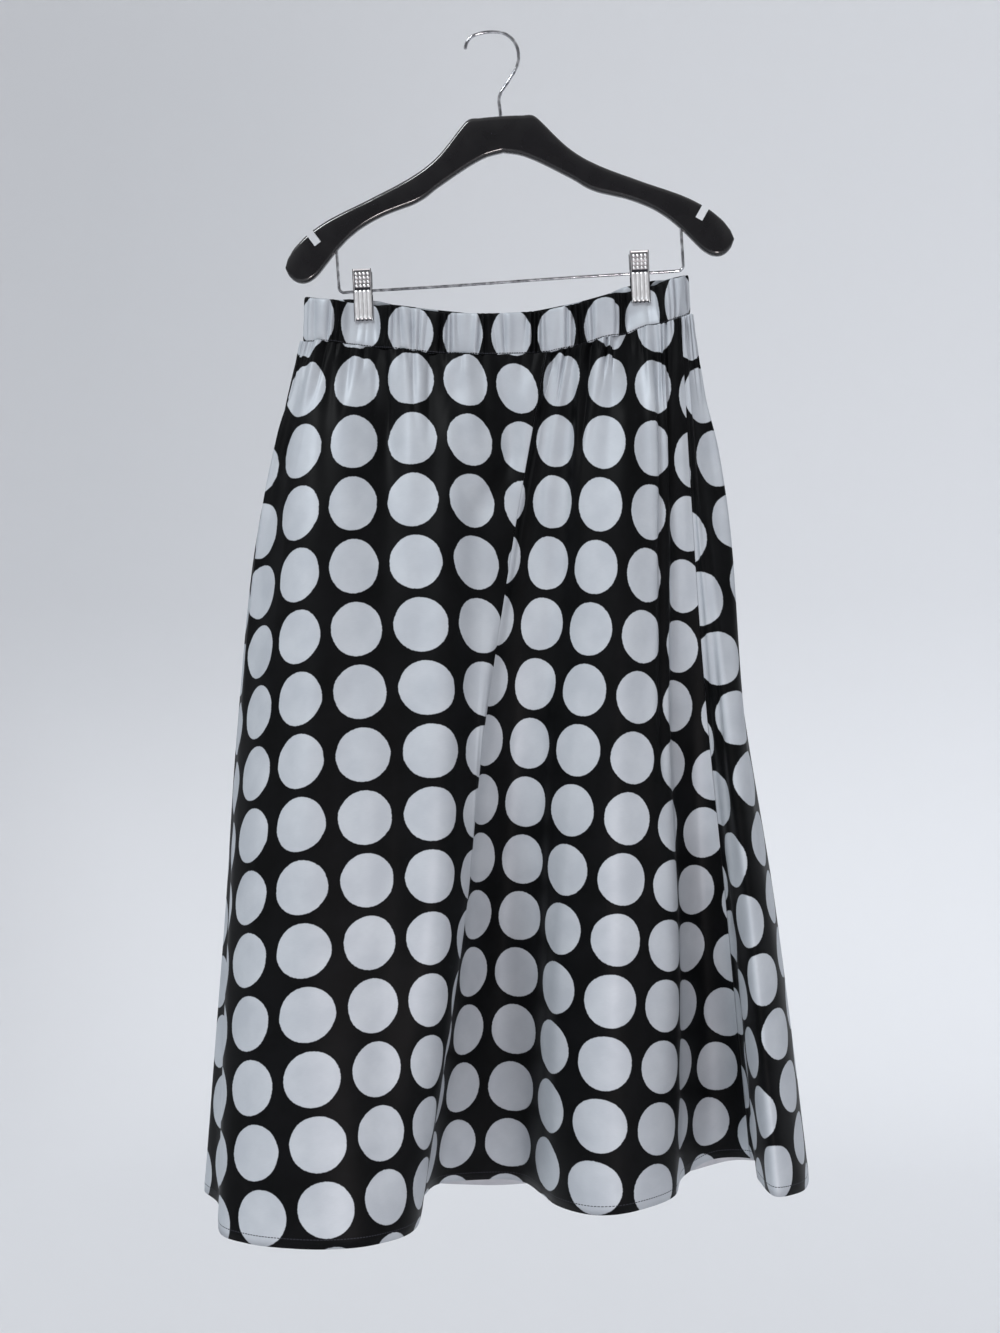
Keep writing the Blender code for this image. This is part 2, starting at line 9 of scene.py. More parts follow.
import bpy
import numpy as np
from bpy.props import FloatProperty, FloatVectorProperty, PointerProperty
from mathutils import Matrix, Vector


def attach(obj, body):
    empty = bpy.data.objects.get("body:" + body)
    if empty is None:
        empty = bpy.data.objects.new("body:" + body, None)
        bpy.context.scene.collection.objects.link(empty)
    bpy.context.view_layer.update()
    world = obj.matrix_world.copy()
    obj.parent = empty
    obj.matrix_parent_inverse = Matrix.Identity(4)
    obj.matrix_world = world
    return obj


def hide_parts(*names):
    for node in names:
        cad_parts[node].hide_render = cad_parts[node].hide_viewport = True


bl_info = {
    "name": "A-line Midi Skirt",
    "version": (1, 0, 0),
    "blender": (4, 5, 0),
    "location": "3D View > Sidebar > Skirt",
    "description": "Builds a dotted satin skirt on its clip hanger, piece by piece",
    "category": "Add Mesh",
}

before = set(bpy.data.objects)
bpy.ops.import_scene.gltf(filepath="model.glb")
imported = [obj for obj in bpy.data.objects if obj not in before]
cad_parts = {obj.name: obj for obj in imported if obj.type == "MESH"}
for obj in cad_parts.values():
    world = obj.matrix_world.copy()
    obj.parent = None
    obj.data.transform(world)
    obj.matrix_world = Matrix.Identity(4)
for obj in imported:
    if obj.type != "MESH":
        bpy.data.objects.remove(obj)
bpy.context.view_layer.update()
MM = 0.001

# Fold lines, one a row, anticlockwise from the left side as seen from above, in mm.
# name, z of the band's top, its stitch line and the hem, then x and y at each of LEVELS
LEVELS = np.array((0.0, 0.22, 0.45, 0.70, 1.0))
FOLDS = (
    ("side_left", -257, -300, -1138, (-185, -229, -251, -266, -287), (0, 6, 12, 20, 34)),
    ("left_tuck", -258, -301, -1139, (-183, -225, -245, -257, -269), (-3, -8, -10, -6, 0)),
    ("left_lobe_edge", -259, -302, -1142, (-178, -217, -236, -246, -250), (-7, -24, -42, -66, -95)),
    ("left_lobe_rise", -261, -302, -1143, (-162, -195, -212, -224, -225), (-12, -42, -66, -92, -117)),
    ("left_lobe_crest", -264, -306, -1143, (-130, -146, -158, -165, -164), (-15, -54, -84, -110, -135)),
    ("left_lobe_fall", -269, -311, -1142, (-89, -91, -93, -99, -107), (-17, -55, -86, -108, -127)),
    ("left_lobe_turn", -275, -315, -1142, (-46, -44, -45, -54, -77), (-18, -48, -74, -90, -94)),
    ("left_fold_edge", -276, -316, -1142, (7, -4, -17, -31, -68), (-19, -36, -54, -58, -40)),
    ("front_seam", -273, -314, -1142, (52, 20, -9, -33, -67), (-18, -28, -46, -30, 30)),
    ("recess_left", -271, -312, -1144, (61, 28, 3, -22, -54), (-18, -26, -34, 0, 80)),
    ("recess_middle", -269, -310, -1145, (71, 40, 23, 10, -7), (-18, -26, -24, 24, 100)),
    ("recess_right", -267, -308, -1144, (81, 55, 47, 39, 28), (-19, -30, -30, 8, 88)),
    ("middle_lobe_rise", -264, -305, -1142, (92, 72, 62, 53, 48), (-20, -38, -43, -20, 35)),
    ("middle_lobe_left", -260, -300, -1140, (108, 93, 79, 66, 62), (-21, -44, -54, -46, -8)),
    ("middle_lobe_crest", -254, -296, -1136, (128, 127, 118, 109, 102), (-20, -47, -63, -68, -56)),
    ("middle_lobe_right", -249, -288, -1133, (147, 152, 151, 148, 140), (-18, -42, -57, -63, -50)),
    ("middle_lobe_edge", -246, -286, -1130, (160, 164, 167, 174, 175), (-17, -34, -46, -46, -15)),
    ("right_tuck", -244, -285, -1124, (166, 170, 174, 184, 190), (-15, -27, -28, -8, 35)),
    ("right_recess", -242, -282, -1117, (174, 180, 190, 207, 225), (-13, -22, -20, 10, 72)),
    ("right_rise", -240, -279, -1112, (182, 192, 206, 228, 258), (-10, -20, -20, -2, 55)),
    ("right_lobe_left", -238, -277, -1107, (187, 200, 216, 233, 254), (-7, -20, -28, -38, -40)),
    ("right_lobe_crest", -237, -275, -1104, (190, 209, 224, 243, 262), (-4, -17, -36, -70, -106)),
    ("right_lobe_fall", -236, -274, -1106, (192, 218, 235, 260, 286), (-2, -9, -26, -56, -85)),
    ("side_right", -236, -274, -1112, (193, 224, 243, 276, 308), (0, 2, 0, -4, 0)),
    ("back_right_turn", -235, -274, -1120, (189, 219, 245, 274, 303), (7, 30, 42, 50, 58)),
    ("back_right_crest", -239, -280, -1128, (166, 191, 212, 233, 254), (13, 46, 72, 94, 112)),
    ("back_right_dip", -248, -290, -1138, (127, 145, 157, 170, 184), (15, 48, 68, 82, 92)),
    ("back_middle_crest", -260, -303, -1150, (81, 90, 95, 102, 110), (16, 52, 84, 110, 132)),
    ("back_middle_dip", -271, -311, -1158, (12, 13, 11, 7, 5), (17, 52, 82, 106, 126)),
    ("back_left_crest", -267, -308, -1160, (-52, -63, -75, -82, -87), (17, 54, 88, 118, 142)),
    ("back_left_dip", -262, -306, -1154, (-95, -123, -145, -158, -168), (16, 48, 70, 88, 100)),
    ("back_left_rise", -259, -300, -1148, (-138, -176, -199, -216, -229), (12, 42, 70, 94, 114)),
    ("back_left_turn", -257, -299, -1142, (-175, -216, -238, -254, -270), (6, 26, 40, 54, 66)),
)
FOLD_NAMES = [row[0] for row in FOLDS]

# Cloth
BAND_GATHERS = 85
PANEL_GATHERS = 42
BAND_WALL = 2.6
SHEET_WALL = 0.5
CLIP_X = (-126.3, 143.3)
PINCH_HALF = 3.4
PINCH_FLAT = 11.5
PINCH_REACH = 28.0
BAND_NARROWING = 0.012

# Fullness: mm of cloth drawn into each mm of the surface, on each fold line at each of LEVELS
FULLNESS = {
    "side_left": (1.30, 1.00, 1.02, 1.01, 1.00),
    "left_tuck": (1.29, 1.03, 1.06, 1.02, 1.00),
    "left_lobe_edge": (1.28, 1.18, 1.16, 1.04, 1.00),
    "left_lobe_rise": (1.31, 1.34, 1.36, 1.07, 1.00),
    "left_lobe_crest": (1.20, 1.17, 1.08, 0.98, 0.96),
    "left_lobe_fall": (1.08, 1.04, 0.94, 1.08, 1.06),
    "left_lobe_turn": (1.20, 1.07, 1.03, 1.23, 1.24),
    "left_fold_edge": (1.34, 1.10, 1.06, 1.10, 1.11),
    "front_seam": (1.37, 1.24, 1.16, 1.11, 1.07),
    "recess_left": (1.36, 1.51, 1.38, 1.24, 1.10),
    "recess_middle": (1.36, 1.52, 1.38, 1.20, 1.05),
    "recess_right": (1.33, 1.31, 1.14, 0.88, 0.79),
    "middle_lobe_rise": (1.30, 1.19, 1.04, 0.76, 0.66),
    "middle_lobe_left": (1.26, 1.20, 1.07, 0.89, 0.70),
    "middle_lobe_crest": (1.24, 1.27, 1.20, 1.08, 0.82),
    "middle_lobe_right": (1.30, 1.29, 1.21, 1.23, 0.93),
    "middle_lobe_edge": (1.38, 1.31, 1.07, 1.02, 1.02),
    "right_tuck": (1.42, 1.30, 1.06, 0.96, 1.07),
    "right_recess": (1.43, 1.29, 1.13, 1.09, 1.07),
    "right_rise": (1.40, 1.20, 1.12, 1.11, 1.06),
}
FULLNESS_ELSEWHERE = (1.36, 1.08, 1.02, 1.00, 1.00)

# The column of dots that each panel's print is laid out from: its x at each of LEVELS and the folds it
# is between, the row of dots at some heights, how the rows lean there, and how a flared cut curves them.
# The back has instead the mm of cloth from that column to its right side seam.
PRINT = {
    "front_left": {
        "line": (-131.9, -131.8, -120.9, -110.0, -90.1), "between": ("left_lobe_rise", "front_seam"),
        "heights": (-335, -529, -760, -929, -1110), "rows": (-0.13, 3.11, 7.06, 10.02, 13.14),
        "lean": (0.079, 0.115, 0.083, 0.079, 0.060), "curve": 0.00063,
    },
    "front_right": {
        "line": (158.9, 149.6, 134.9, 116.1, 92.6), "between": ("middle_lobe_left", "right_tuck"),
        "heights": (-349, -529, -760, -931, -1110), "rows": (0.02, 2.97, 7.00, 10.01, 12.99),
        "lean": (-0.072, -0.131, -0.130, -0.123, -0.083), "curve": 0.00023,
    },
    "back": {
        "start": (116.0, 80.0, 31.0, -65.0, -236.0),
        "heights": (-354, -496, -667, -857, -1082), "rows": (-0.62, 1.70, 4.66, 8.00, 12.40),
        "lean": (0.36, 0.36, 0.36, 0.36, 0.36), "curve": 0.00051,
    },
}
PITCH_ACROSS = 62.5
PITCH_DOWN = 59.5
DRAWN_UP = 2.2

# The band's dots across the front, from the left: x of each one's middle and how far it sits below the
# band's own middle, in mm. Behind they are evenly spread, as near to this much cloth in each mm.
BAND_DOTS = (
    (-170.2, 0.0), (-130.6, -3.0), (-77.2, 2.0), (-27.4, 0.0), (16.0, 0.0), (63.3, 2.5), (105.8, 6.0),
    (149.3, 8.0), (178.4, 0.0),
)
BAND_FULLNESS = 1.36

# Stitch lines: mm above the hem's edge and above the casing's seam. The hem is turned up as far as HEM_TURN.
HEM_STITCH = 8.5
BAND_STITCH = 1.2
HEM_TURN = (8.0, 11.0)
HEM_ROLL = 1.6


def smooth(knots, values, at):
    """Values at each of `at`, on a cubic through the knots; values and at share their rows."""
    values = np.atleast_2d(values)
    at = np.broadcast_to(np.atleast_2d(at), (len(values), np.shape(at)[-1]))
    slopes = np.gradient(values, knots, axis=-1)
    i = np.clip(np.searchsorted(knots, at, side="right") - 1, 0, len(knots) - 2)
    width = knots[i + 1] - knots[i]
    t = (at - knots[i]) / width
    low = np.take_along_axis(values, i, -1)
    high = np.take_along_axis(values, i + 1, -1)
    low_slope = np.take_along_axis(slopes, i, -1) * width
    high_slope = np.take_along_axis(slopes, i + 1, -1) * width
    return (
        (2 * t**3 - 3 * t**2 + 1) * low
        + (t**3 - 2 * t**2 + t) * low_slope
        + (3 * t**2 - 2 * t**3) * high
        + (t**3 - t**2) * high_slope
    )


def ramp(value, start, end):
    """0 before start, 1 after end, and a smooth step between."""
    t = np.clip((value - start) / (end - start), 0.0, 1.0)
    return t * t * (3.0 - 2.0 * t)


def running_mean(values, reach, ends):
    """Each value's mean with `reach` neighbours on both sides; ends says how the row goes on."""
    share = np.ones(2 * reach + 1) / (2 * reach + 1)
    return np.convolve(np.pad(values, reach, ends), share, "valid")


def fold_knots():
    """Where each fold line sits round the skirt, from 0 to 1, by its mean distance from its neighbours."""
    x = np.array([row[4] for row in FOLDS], float)
    y = np.array([row[5] for row in FOLDS], float)
    steps = np.hypot(np.roll(x, -1, 0) - x, np.roll(y, -1, 0) - y).mean(axis=1)
    ends = np.cumsum(steps)
    return np.concatenate([[0.0], ends[:-1]]) / ends[-1]


KNOTS = fold_knots()
FRONT_SEAM = KNOTS[FOLD_NAMES.index("front_seam")]
RIGHT_SEAM = KNOTS[FOLD_NAMES.index("right_rise")]


def round_loop(values, at):
    """A cubic round the closed loop of fold lines."""
    turns = np.concatenate([KNOTS[-3:] - 1.0, KNOTS, KNOTS[:3] + 1.0])
    values = np.atleast_2d(values)
    values = np.concatenate([values[:, -3:], values, values[:, :3]], axis=1)
    return smooth(turns, values, np.mod(at, 1.0))


def base_surface(at, fall):
    """Points of the ungathered cloth in mm.

    `at` runs round the skirt from 0 to 1, a row of it for each fall. `fall` is -1 at the band's top
    edge, 0 at its stitch line and 1 at the hem. Each fold line is first read at that fall, then the
    loop is closed through all of them. Under a clip the front and back are pressed together.
    """
    fall = np.asarray(fall, float)
    down = np.clip(fall, 0.0, 1.0)
    x_lines = smooth(LEVELS, np.array([row[4] for row in FOLDS], float), down[None, :]).T
    y_lines = smooth(LEVELS, np.array([row[5] for row in FOLDS], float), down[None, :]).T
    heights = np.array([row[1:4] for row in FOLDS], float).T
    top, stitch, hem = (round_loop(line, at.reshape(1, -1)).reshape(at.shape) for line in heights)
    x = round_loop(x_lines, at)
    y = round_loop(y_lines, at)
    band = np.clip(-fall, 0.0, 1.0)[:, None]
    x = x * (1.0 - BAND_NARROWING * band)
    z = stitch + (top - stitch) * band + (hem - stitch) * down[:, None]
    held = (1.0 - 0.5 * ramp(fall, -0.5, 0.0)) * (1.0 - ramp(fall, 0.0, 0.12))
    for clip_x in CLIP_X:
        near = (1.0 - ramp(np.abs(x - clip_x), PINCH_FLAT, PINCH_REACH)) * held[:, None]
        pressed = np.sign(y) * np.minimum(np.abs(y), PINCH_HALF)
        y = y + (pressed - y) * near
    return np.stack([x, y, z], axis=-1)


def outward(at, fall):
    """Unit normals of the ungathered cloth, pointing out of the skirt."""
    step = 1e-3
    round_step = base_surface(at + step, fall) - base_surface(at - step, fall)
    low = np.clip(fall - 2 * step, -1.0, 1.0)
    high = np.clip(fall + 2 * step, -1.0, 1.0)
    down_step = base_surface(at, high) - base_surface(at, low)
    normal = np.cross(down_step, round_step)
    return normal / np.linalg.norm(normal, axis=-1, keepdims=True)


def near_clip(x):
    """1 under a clip, easing to 0 at PINCH_REACH beside it."""
    return sum(1.0 - ramp(np.abs(x - clip_x), PINCH_FLAT, PINCH_REACH) for clip_x in CLIP_X)


def uneven(at, seed):
    """A smooth number between about -1 and 1 that wanders round the skirt: five sines of whole turns."""
    picks = np.random.default_rng(seed)
    turns = picks.integers(5, 31, 5)
    starts = picks.uniform(0, 2 * math.pi, 5)
    return sum(np.sin(2 * math.pi * n * at + s) for n, s in zip(turns, starts)) / 2.6


# Creases laid one by one: face, x at the top and bottom, fall at the top and bottom, width and height in mm.
# A height below 0 is a trough.
CREASES = (
    ("front", -158, -176, 0.10, 1.00, 20, 6.5),
    ("front", -101, -100, 0.08, 1.00, 17, -8.0),
    ("front", -45, -60, 0.10, 0.75, 19, 6.5),
    ("front", 74, 64, 0.08, 0.40, 13, -6.0),
    ("front", 126, 106, 0.10, 0.95, 18, 6.5),
    ("front", 216, 232, 0.15, 0.60, 12, 4.0),
    ("back", -104, -128, 0.10, 0.90, 20, 4.4),
    ("back", -36, -34, 0.12, 0.80, 18, -4.2),
    ("back", 60, 66, 0.08, 0.95, 20, 4.4),
    ("back", 138, 160, 0.10, 0.70, 18, -4.0),
    ("front", -172, -196, 0.00, 0.20, 7, 3.0),
    ("front", -152, -160, 0.00, 0.16, 6, -3.5),
    ("front", -132, -136, 0.00, 0.24, 8, 2.6),
    ("front", -104, -104, 0.00, 0.12, 6, -3.4),
    ("front", -82, -80, 0.00, 0.16, 7, 3.0),
    ("front", -54, -52, 0.00, 0.18, 7, -4.0),
    ("front", -28, -16, 0.00, 0.13, 7, 3.6),
    ("front", 6, 18, 0.00, 0.14, 7, -4.0),
    ("front", 34, 30, 0.00, 0.16, 7, 3.2),
    ("front", 18, -10, 0.12, 0.19, 10, -5.0),
    ("front", 60, 42, 0.00, 0.30, 6, -3.0),
    ("front", 88, 78, 0.00, 0.18, 7, 3.0),
    ("front", 118, 112, 0.00, 0.14, 6, -2.6),
    ("front", 152, 156, 0.00, 0.20, 6, 3.2),
    ("front", 160, 163, 0.05, 0.55, 4, -6.0),
    ("front", 178, 186, 0.00, 0.30, 5, 3.0),
    ("back", -150, -168, 0.00, 0.22, 8, -3.6),
    ("back", -118, -128, 0.00, 0.15, 7, 3.2),
    ("back", -84, -92, 0.00, 0.26, 8, -3.8),
    ("back", -52, -50, 0.00, 0.14, 7, 3.0),
    ("back", -20, -18, 0.00, 0.20, 7, -3.6),
    ("back", 14, 20, 0.00, 0.17, 8, 3.4),
    ("back", 46, 52, 0.00, 0.24, 7, -3.8),
    ("back", 80, 92, 0.00, 0.15, 7, 3.0),
    ("back", 112, 124, 0.00, 0.20, 8, -3.6),
    ("back", 150, 166, 0.00, 0.18, 7, 3.2),
)


def place_at(face, x, fall):
    """Where on the loop the front or the back passes a given x, at one fall."""
    start, end = (KNOTS[1], KNOTS[23]) if face == "front" else (KNOTS[24], 1.0 + KNOTS[0])
    at = np.linspace(start, end, 400)
    line = base_surface(at[None, :], np.array([fall]))[0, :, 0]
    return at[np.argmin(np.abs(line - x))]


def creases(at, fall, along):
    """Height of the listed creases: a bell across each line, easing in and out along it."""
    height = np.zeros(at.shape)
    for face, x_top, x_low, top, low, width, rise in CREASES:
        first = place_at(face, x_top, top)
        last = place_at(face, x_low, low)
        share = np.clip((fall - top) / (low - top), 0.0, 1.0)[:, None]
        middle = first + (last - first) * share
        off = (np.mod(at - middle + 0.5, 1.0) - 0.5) * along
        lasts = ramp(fall, top - 0.06, top + 0.01) * (1.0 - ramp(fall, 0.25 * top + 0.75 * low, low + 0.06))
        height = height + rise * np.exp(-((off / (width * (1.0 + 0.8 * share))) ** 2)) * lasts[:, None]
    return height


def ridges(turn, tight):
    """Rounded ridges with tight valleys, 1 apart: the root of a squared sine, 0 to 1."""
    return np.sqrt(np.sin(math.pi * turn) ** 2 + tight) - math.sqrt(tight)


def gathers(at, fall, x):
    """Height of the gathers under the stitch line, which stand between tight valleys.

    Each set fades down the skirt over a length that wanders round it, so no two neighbours end
    level, and drifts sideways a little on its way.
    """
    fall = fall[:, None]
    calm = 1.0 - 0.5 * near_clip(x)
    reach = np.clip(0.075 + 0.075 * uneven(at, 3), 0.025, 0.2)
    drift = 0.8 * uneven(at, 6) * fall / 0.1
    wide = ridges(PANEL_GATHERS * at + 0.45 * uneven(at, 5) + 0.25 * drift, 0.015)
    size = 5.0 * (1.0 + 0.5 * uneven(at, 8))
    height = size * (wide - 0.5) * (1.0 - ramp(fall, 0.25 * reach, 1.1 * reach))
    short = np.clip(0.022 + 0.02 * uneven(at, 13), 0.01, 0.05)
    fine = ridges(BAND_GATHERS * at + 0.5 * uneven(at, 11) + 0.3 * drift, 0.02)
    size = 2.0 * (1.0 + 0.5 * uneven(at, 12))
    height = height + size * (fine - 0.5) * (1.0 - ramp(fall, 0.2 * short, short))
    return height * calm


def ripples(at, fall):
    """Height of the long soft ripples: three sets of uneven sines, each strongest at its own height."""
    fall = fall[:, None]
    height = 0.0
    for seed, middle, reach, size in ((21, 0.22, 0.20, 1.5), (41, 0.50, 0.24, 1.3), (51, 0.85, 0.26, 1.2)):
        slip = at + 0.006 * np.sin(9.0 * fall + seed)
        height = height + size * uneven(slip, seed) * np.exp(-(((fall - middle) / reach) ** 2))
    return height


def drape(at, fall):
    """The panels' outer surface with its gathers, creases and ripples, its normals and the plain surface."""
    base = base_surface(at, fall)
    normal = outward(at, fall)
    step = 1e-3
    hop = base_surface(at + step, fall) - base_surface(at - step, fall)
    along = np.linalg.norm(hop, axis=-1) / (2 * step)
    height = gathers(at, fall, base[..., 0]) + creases(at, fall, along) + ripples(at, fall)
    return base + normal * height[..., None], normal, base


def fullness(at, fall):
    """Cloth per mm of surface, read between the fold lines and between the levels."""
    table = np.array([FULLNESS.get(name, FULLNESS_ELSEWHERE) for name in FOLD_NAMES])
    down = np.stack([np.interp(np.clip(fall, 0.0, 1.0), LEVELS, row) for row in table], axis=1)
    knots = np.append(KNOTS, 1.0)
    closed = np.concatenate([down, down[:, :1]], axis=1)
    return np.stack([np.interp(np.mod(a, 1.0), knots, row) for a, row in zip(at, closed)])


def print_place(panel, at, fall, base, outer):
    """Where each point lies in the cloth's print, in metres: across and down.

    Across is the length of cloth from the panel's printed line, round the skirt at one fall; in each
    gather more of it lies on the slopes. Down is the height turned to rows of dots, leaning and
    curving as the flared panel's cut makes them.
    """
    laid = PRINT[panel]
    hop = np.linalg.norm(np.diff(outer, axis=1), axis=-1)
    plain = np.linalg.norm(np.diff(base, axis=1), axis=-1)
    even = [np.stack([running_mean(row, 12, "edge") for row in steps]) for steps in (plain, hop)]
    hop = hop * (even[0] / even[1]) * fullness((at[:, 1:] + at[:, :-1]) / 2, fall)
    length = np.concatenate([np.zeros((len(fall), 1)), np.cumsum(hop, axis=1)], axis=1)
    down = np.clip(fall, 0.0, 1.0)
    if "start" in laid:
        across = length + smooth(LEVELS, np.array(laid["start"]), down[None, :])[0][:, None]
    else:
        track = smooth(LEVELS, np.array(laid["line"], float), down[None, :])[0]
        search = np.linspace(*[KNOTS[FOLD_NAMES.index(name)] for name in laid["between"]], 300)
        line = base_surface(np.repeat(search[None, :], len(fall), 0), fall)[..., 0]
        start = search[np.argmin(np.abs(line - track[:, None]), axis=1)]
        zero = np.array([np.interp(s, row_at, row) for s, row_at, row in zip(start, at, length)])
        across = length - zero[:, None]
    rows = smooth(-np.array(laid["heights"], float), np.array(laid["rows"]), -base[..., 2].reshape(1, -1))
    lean = smooth(LEVELS, np.array(laid["lean"]), down[None, :])[0][:, None]
    rows = rows.reshape(across.shape) * PITCH_DOWN + lean * across - laid["curve"] * across**2
    # The stitch line draws the cloth up unevenly, which roughens the tops of the dots under it
    rows = rows + DRAWN_UP * uneven(2.0 * at, 61) * (1.0 - ramp(fall, 0.0, 0.05))[:, None]
    return across * MM, rows * MM


# Materials


def linear(colour):
    """A sRGB hex colour as a linear RGBA value."""
    parts = [int(colour[i : i + 2], 16) / 255 for i in (1, 3, 5)]
    return (*((c / 12.92 if c <= 0.04045 else ((c + 0.055) / 1.055) ** 2.4) for c in parts), 1.0)


def node(tree, kind, links=None, **settings):
    """Adds a node. Settings are its properties, or in0, in1 and so on for its inputs' values."""
    made = tree.nodes.new(kind)
    for key, value in settings.items():
        if key[:2] == "in" and key[2:].isdigit():
            made.inputs[int(key[2:])].default_value = value
        else:
            setattr(made, key, value)
    for index, source in (links or {}).items():
        tree.links.new(source, made.inputs[index])
    return made


def new_material(name, roughness, metallic=0.0, **inputs):
    """A material with its tree and its shader; inputs are the shader's, with _ for a space."""
    material = bpy.data.materials.new(name)
    material.use_nodes = True
    tree = material.node_tree
    shader = tree.nodes["Principled BSDF"]
    shader.inputs["Roughness"].default_value = roughness
    shader.inputs["Metallic"].default_value = metallic
    for key, value in inputs.items():
        shader.inputs[key.replace("_", " ")].default_value = value
    return material, tree, shader


def dotted_satin(name, stitch_at):
    """Polyester satin taffeta, woven, then printed: near black with large silver-white dots.

    The eye sees a close smooth weave with a wide soft shine, fine crosswise slubs, dots whose pearly
    ink is a little uneven and whose edges waver, and small crumples. A row of dashes is the stitching.
    """
    cloth = bpy.context.scene.skirt_cloth
    material, tree, shader = new_material(name, 0.5, Specular_IOR_Level=0.08, Sheen_Weight=0.01)
    uv = node(tree, "ShaderNodeUVMap", uv_map="print").outputs[0]
    pitch = (cloth.pitch_across, cloth.pitch_down, 1.0)
    half = (0.5, 0.5, 0.0)
    cell = node(tree, "ShaderNodeVectorMath", {0: uv}, operation="DIVIDE", in1=pitch).outputs[0]
    moved = node(tree, "ShaderNodeVectorMath", {0: cell}, operation="ADD", in1=half).outputs[0]
    part = node(tree, "ShaderNodeVectorMath", {0: moved}, operation="FRACTION").outputs[0]
    centred = node(tree, "ShaderNodeVectorMath", {0: part}, operation="SUBTRACT", in1=half).outputs[0]
    flat = (cloth.pitch_across, cloth.pitch_down, 0.0)
    metres = node(tree, "ShaderNodeVectorMath", {0: centred}, operation="MULTIPLY", in1=flat).outputs[0]
    away = node(tree, "ShaderNodeVectorMath", {0: metres}, operation="LENGTH").outputs["Value"]
    waver = node(tree, "ShaderNodeTexNoise", {0: uv}, in2=420.0, in3=2.0).outputs[0]
    edge = node(tree, "ShaderNodeMath", {0: waver, 2: away}, operation="MULTIPLY_ADD", in1=0.0011).outputs[0]
    radius = cloth.dot_size / 2
    inked = node(tree, "ShaderNodeMapRange", {0: edge}, in1=radius + 0.0009, in2=radius + 0.0002).outputs[0]

    # Slubs are 0.3 mm threads a few millimetres long, drawn twice as coarse so that they show
    drawn = (170.0, 1600.0, 1.0)
    threads = node(tree, "ShaderNodeVectorMath", {0: uv}, operation="MULTIPLY", in1=drawn).outputs[0]
    slubs = node(tree, "ShaderNodeTexNoise", {0: threads}, in2=1.0, in3=2.0).outputs[0]
    patches = node(tree, "ShaderNodeTexNoise", {0: uv}, in2=26.0, in3=3.0).outputs[0]
    spread = node(tree, "ShaderNodeMapRange", {0: patches}, in1=0.36, in2=0.64).outputs[0]
    faint = node(tree, "ShaderNodeMath", {0: slubs}, operation="MULTIPLY", in1=0.22).outputs[0]
    mixed = {"data_type": "RGBA"}
    thin, full, dark = linear("#B0B6BD"), cloth.dot_colour, linear("#90959D")
    ink = node(tree, "ShaderNodeMix", {0: spread}, in6=thin, in7=full, **mixed).outputs[2]
    ink = node(tree, "ShaderNodeMix", {0: faint, 6: ink}, in7=dark, **mixed).outputs[2]
    deep, worn = cloth.ground_colour, linear("#090A0C")
    ground = node(tree, "ShaderNodeMix", {0: spread}, in6=deep, in7=worn, **mixed).outputs[2]
    colour = node(tree, "ShaderNodeMix", {0: inked, 6: ground, 7: ink}, **mixed).outputs[2]

    pearl = node(tree, "ShaderNodeMath", {0: inked}, operation="MULTIPLY", in1=0.16).outputs[0]
    tree.links.new(pearl, shader.inputs["Metallic"])

    # Stitches 2.2 mm long, one every 3 mm, in a dark thread that shows on the dots
    seam = node(tree, "ShaderNodeUVMap", uv_map="edge").outputs[0]
    place = node(tree, "ShaderNodeSeparateXYZ", {0: seam})
    along, up = place.outputs[0], place.outputs[1]
    above = node(tree, "ShaderNodeMath", {0: up}, operation="SUBTRACT", in1=stitch_at * MM).outputs[0]
    off = node(tree, "ShaderNodeMath", {0: above}, operation="ABSOLUTE").outputs[0]
    near = node(tree, "ShaderNodeMath", {0: off}, operation="LESS_THAN", in1=0.42 * MM).outputs[0]
    steps = node(tree, "ShaderNodeMath", {0: along}, operation="MULTIPLY", in1=1 / (3.0 * MM)).outputs[0]
    beat = node(tree, "ShaderNodeMath", {0: steps}, operation="FRACT").outputs[0]
    stitch = node(tree, "ShaderNodeMath", {0: beat}, operation="LESS_THAN", in1=0.72).outputs[0]
    thread = node(tree, "ShaderNodeMath", {0: near, 1: stitch}, operation="MULTIPLY").outputs[0]
    sewing = linear("#2C2D33")
    sewn_colour = node(tree, "ShaderNodeMix", {0: thread, 6: colour}, in7=sewing, **mixed).outputs[2]
    tree.links.new(sewn_colour, shader.inputs["Base Color"])

    # The sewn line lies in a shallow groove about 3 mm wide
    groove = node(tree, "ShaderNodeMapRange", {0: off}, in1=0.0, in2=1.8 * MM).outputs[0]
    crumples = node(tree, "ShaderNodeTexNoise", {0: uv}, in2=55.0, in3=4.0, in4=0.62).outputs[0]
    weave = node(tree, "ShaderNodeBump", {2: slubs}, in0=0.12, in1=0.0003).outputs[0]
    handled = node(tree, "ShaderNodeBump", {2: crumples, "Normal": weave}, in0=0.36, in1=0.0024).outputs[0]
    sewn = node(tree, "ShaderNodeBump", {2: groove, "Normal": handled}, in0=0.5, in1=0.0006).outputs[0]
    tree.links.new(sewn, shader.inputs["Normal"])
    return material


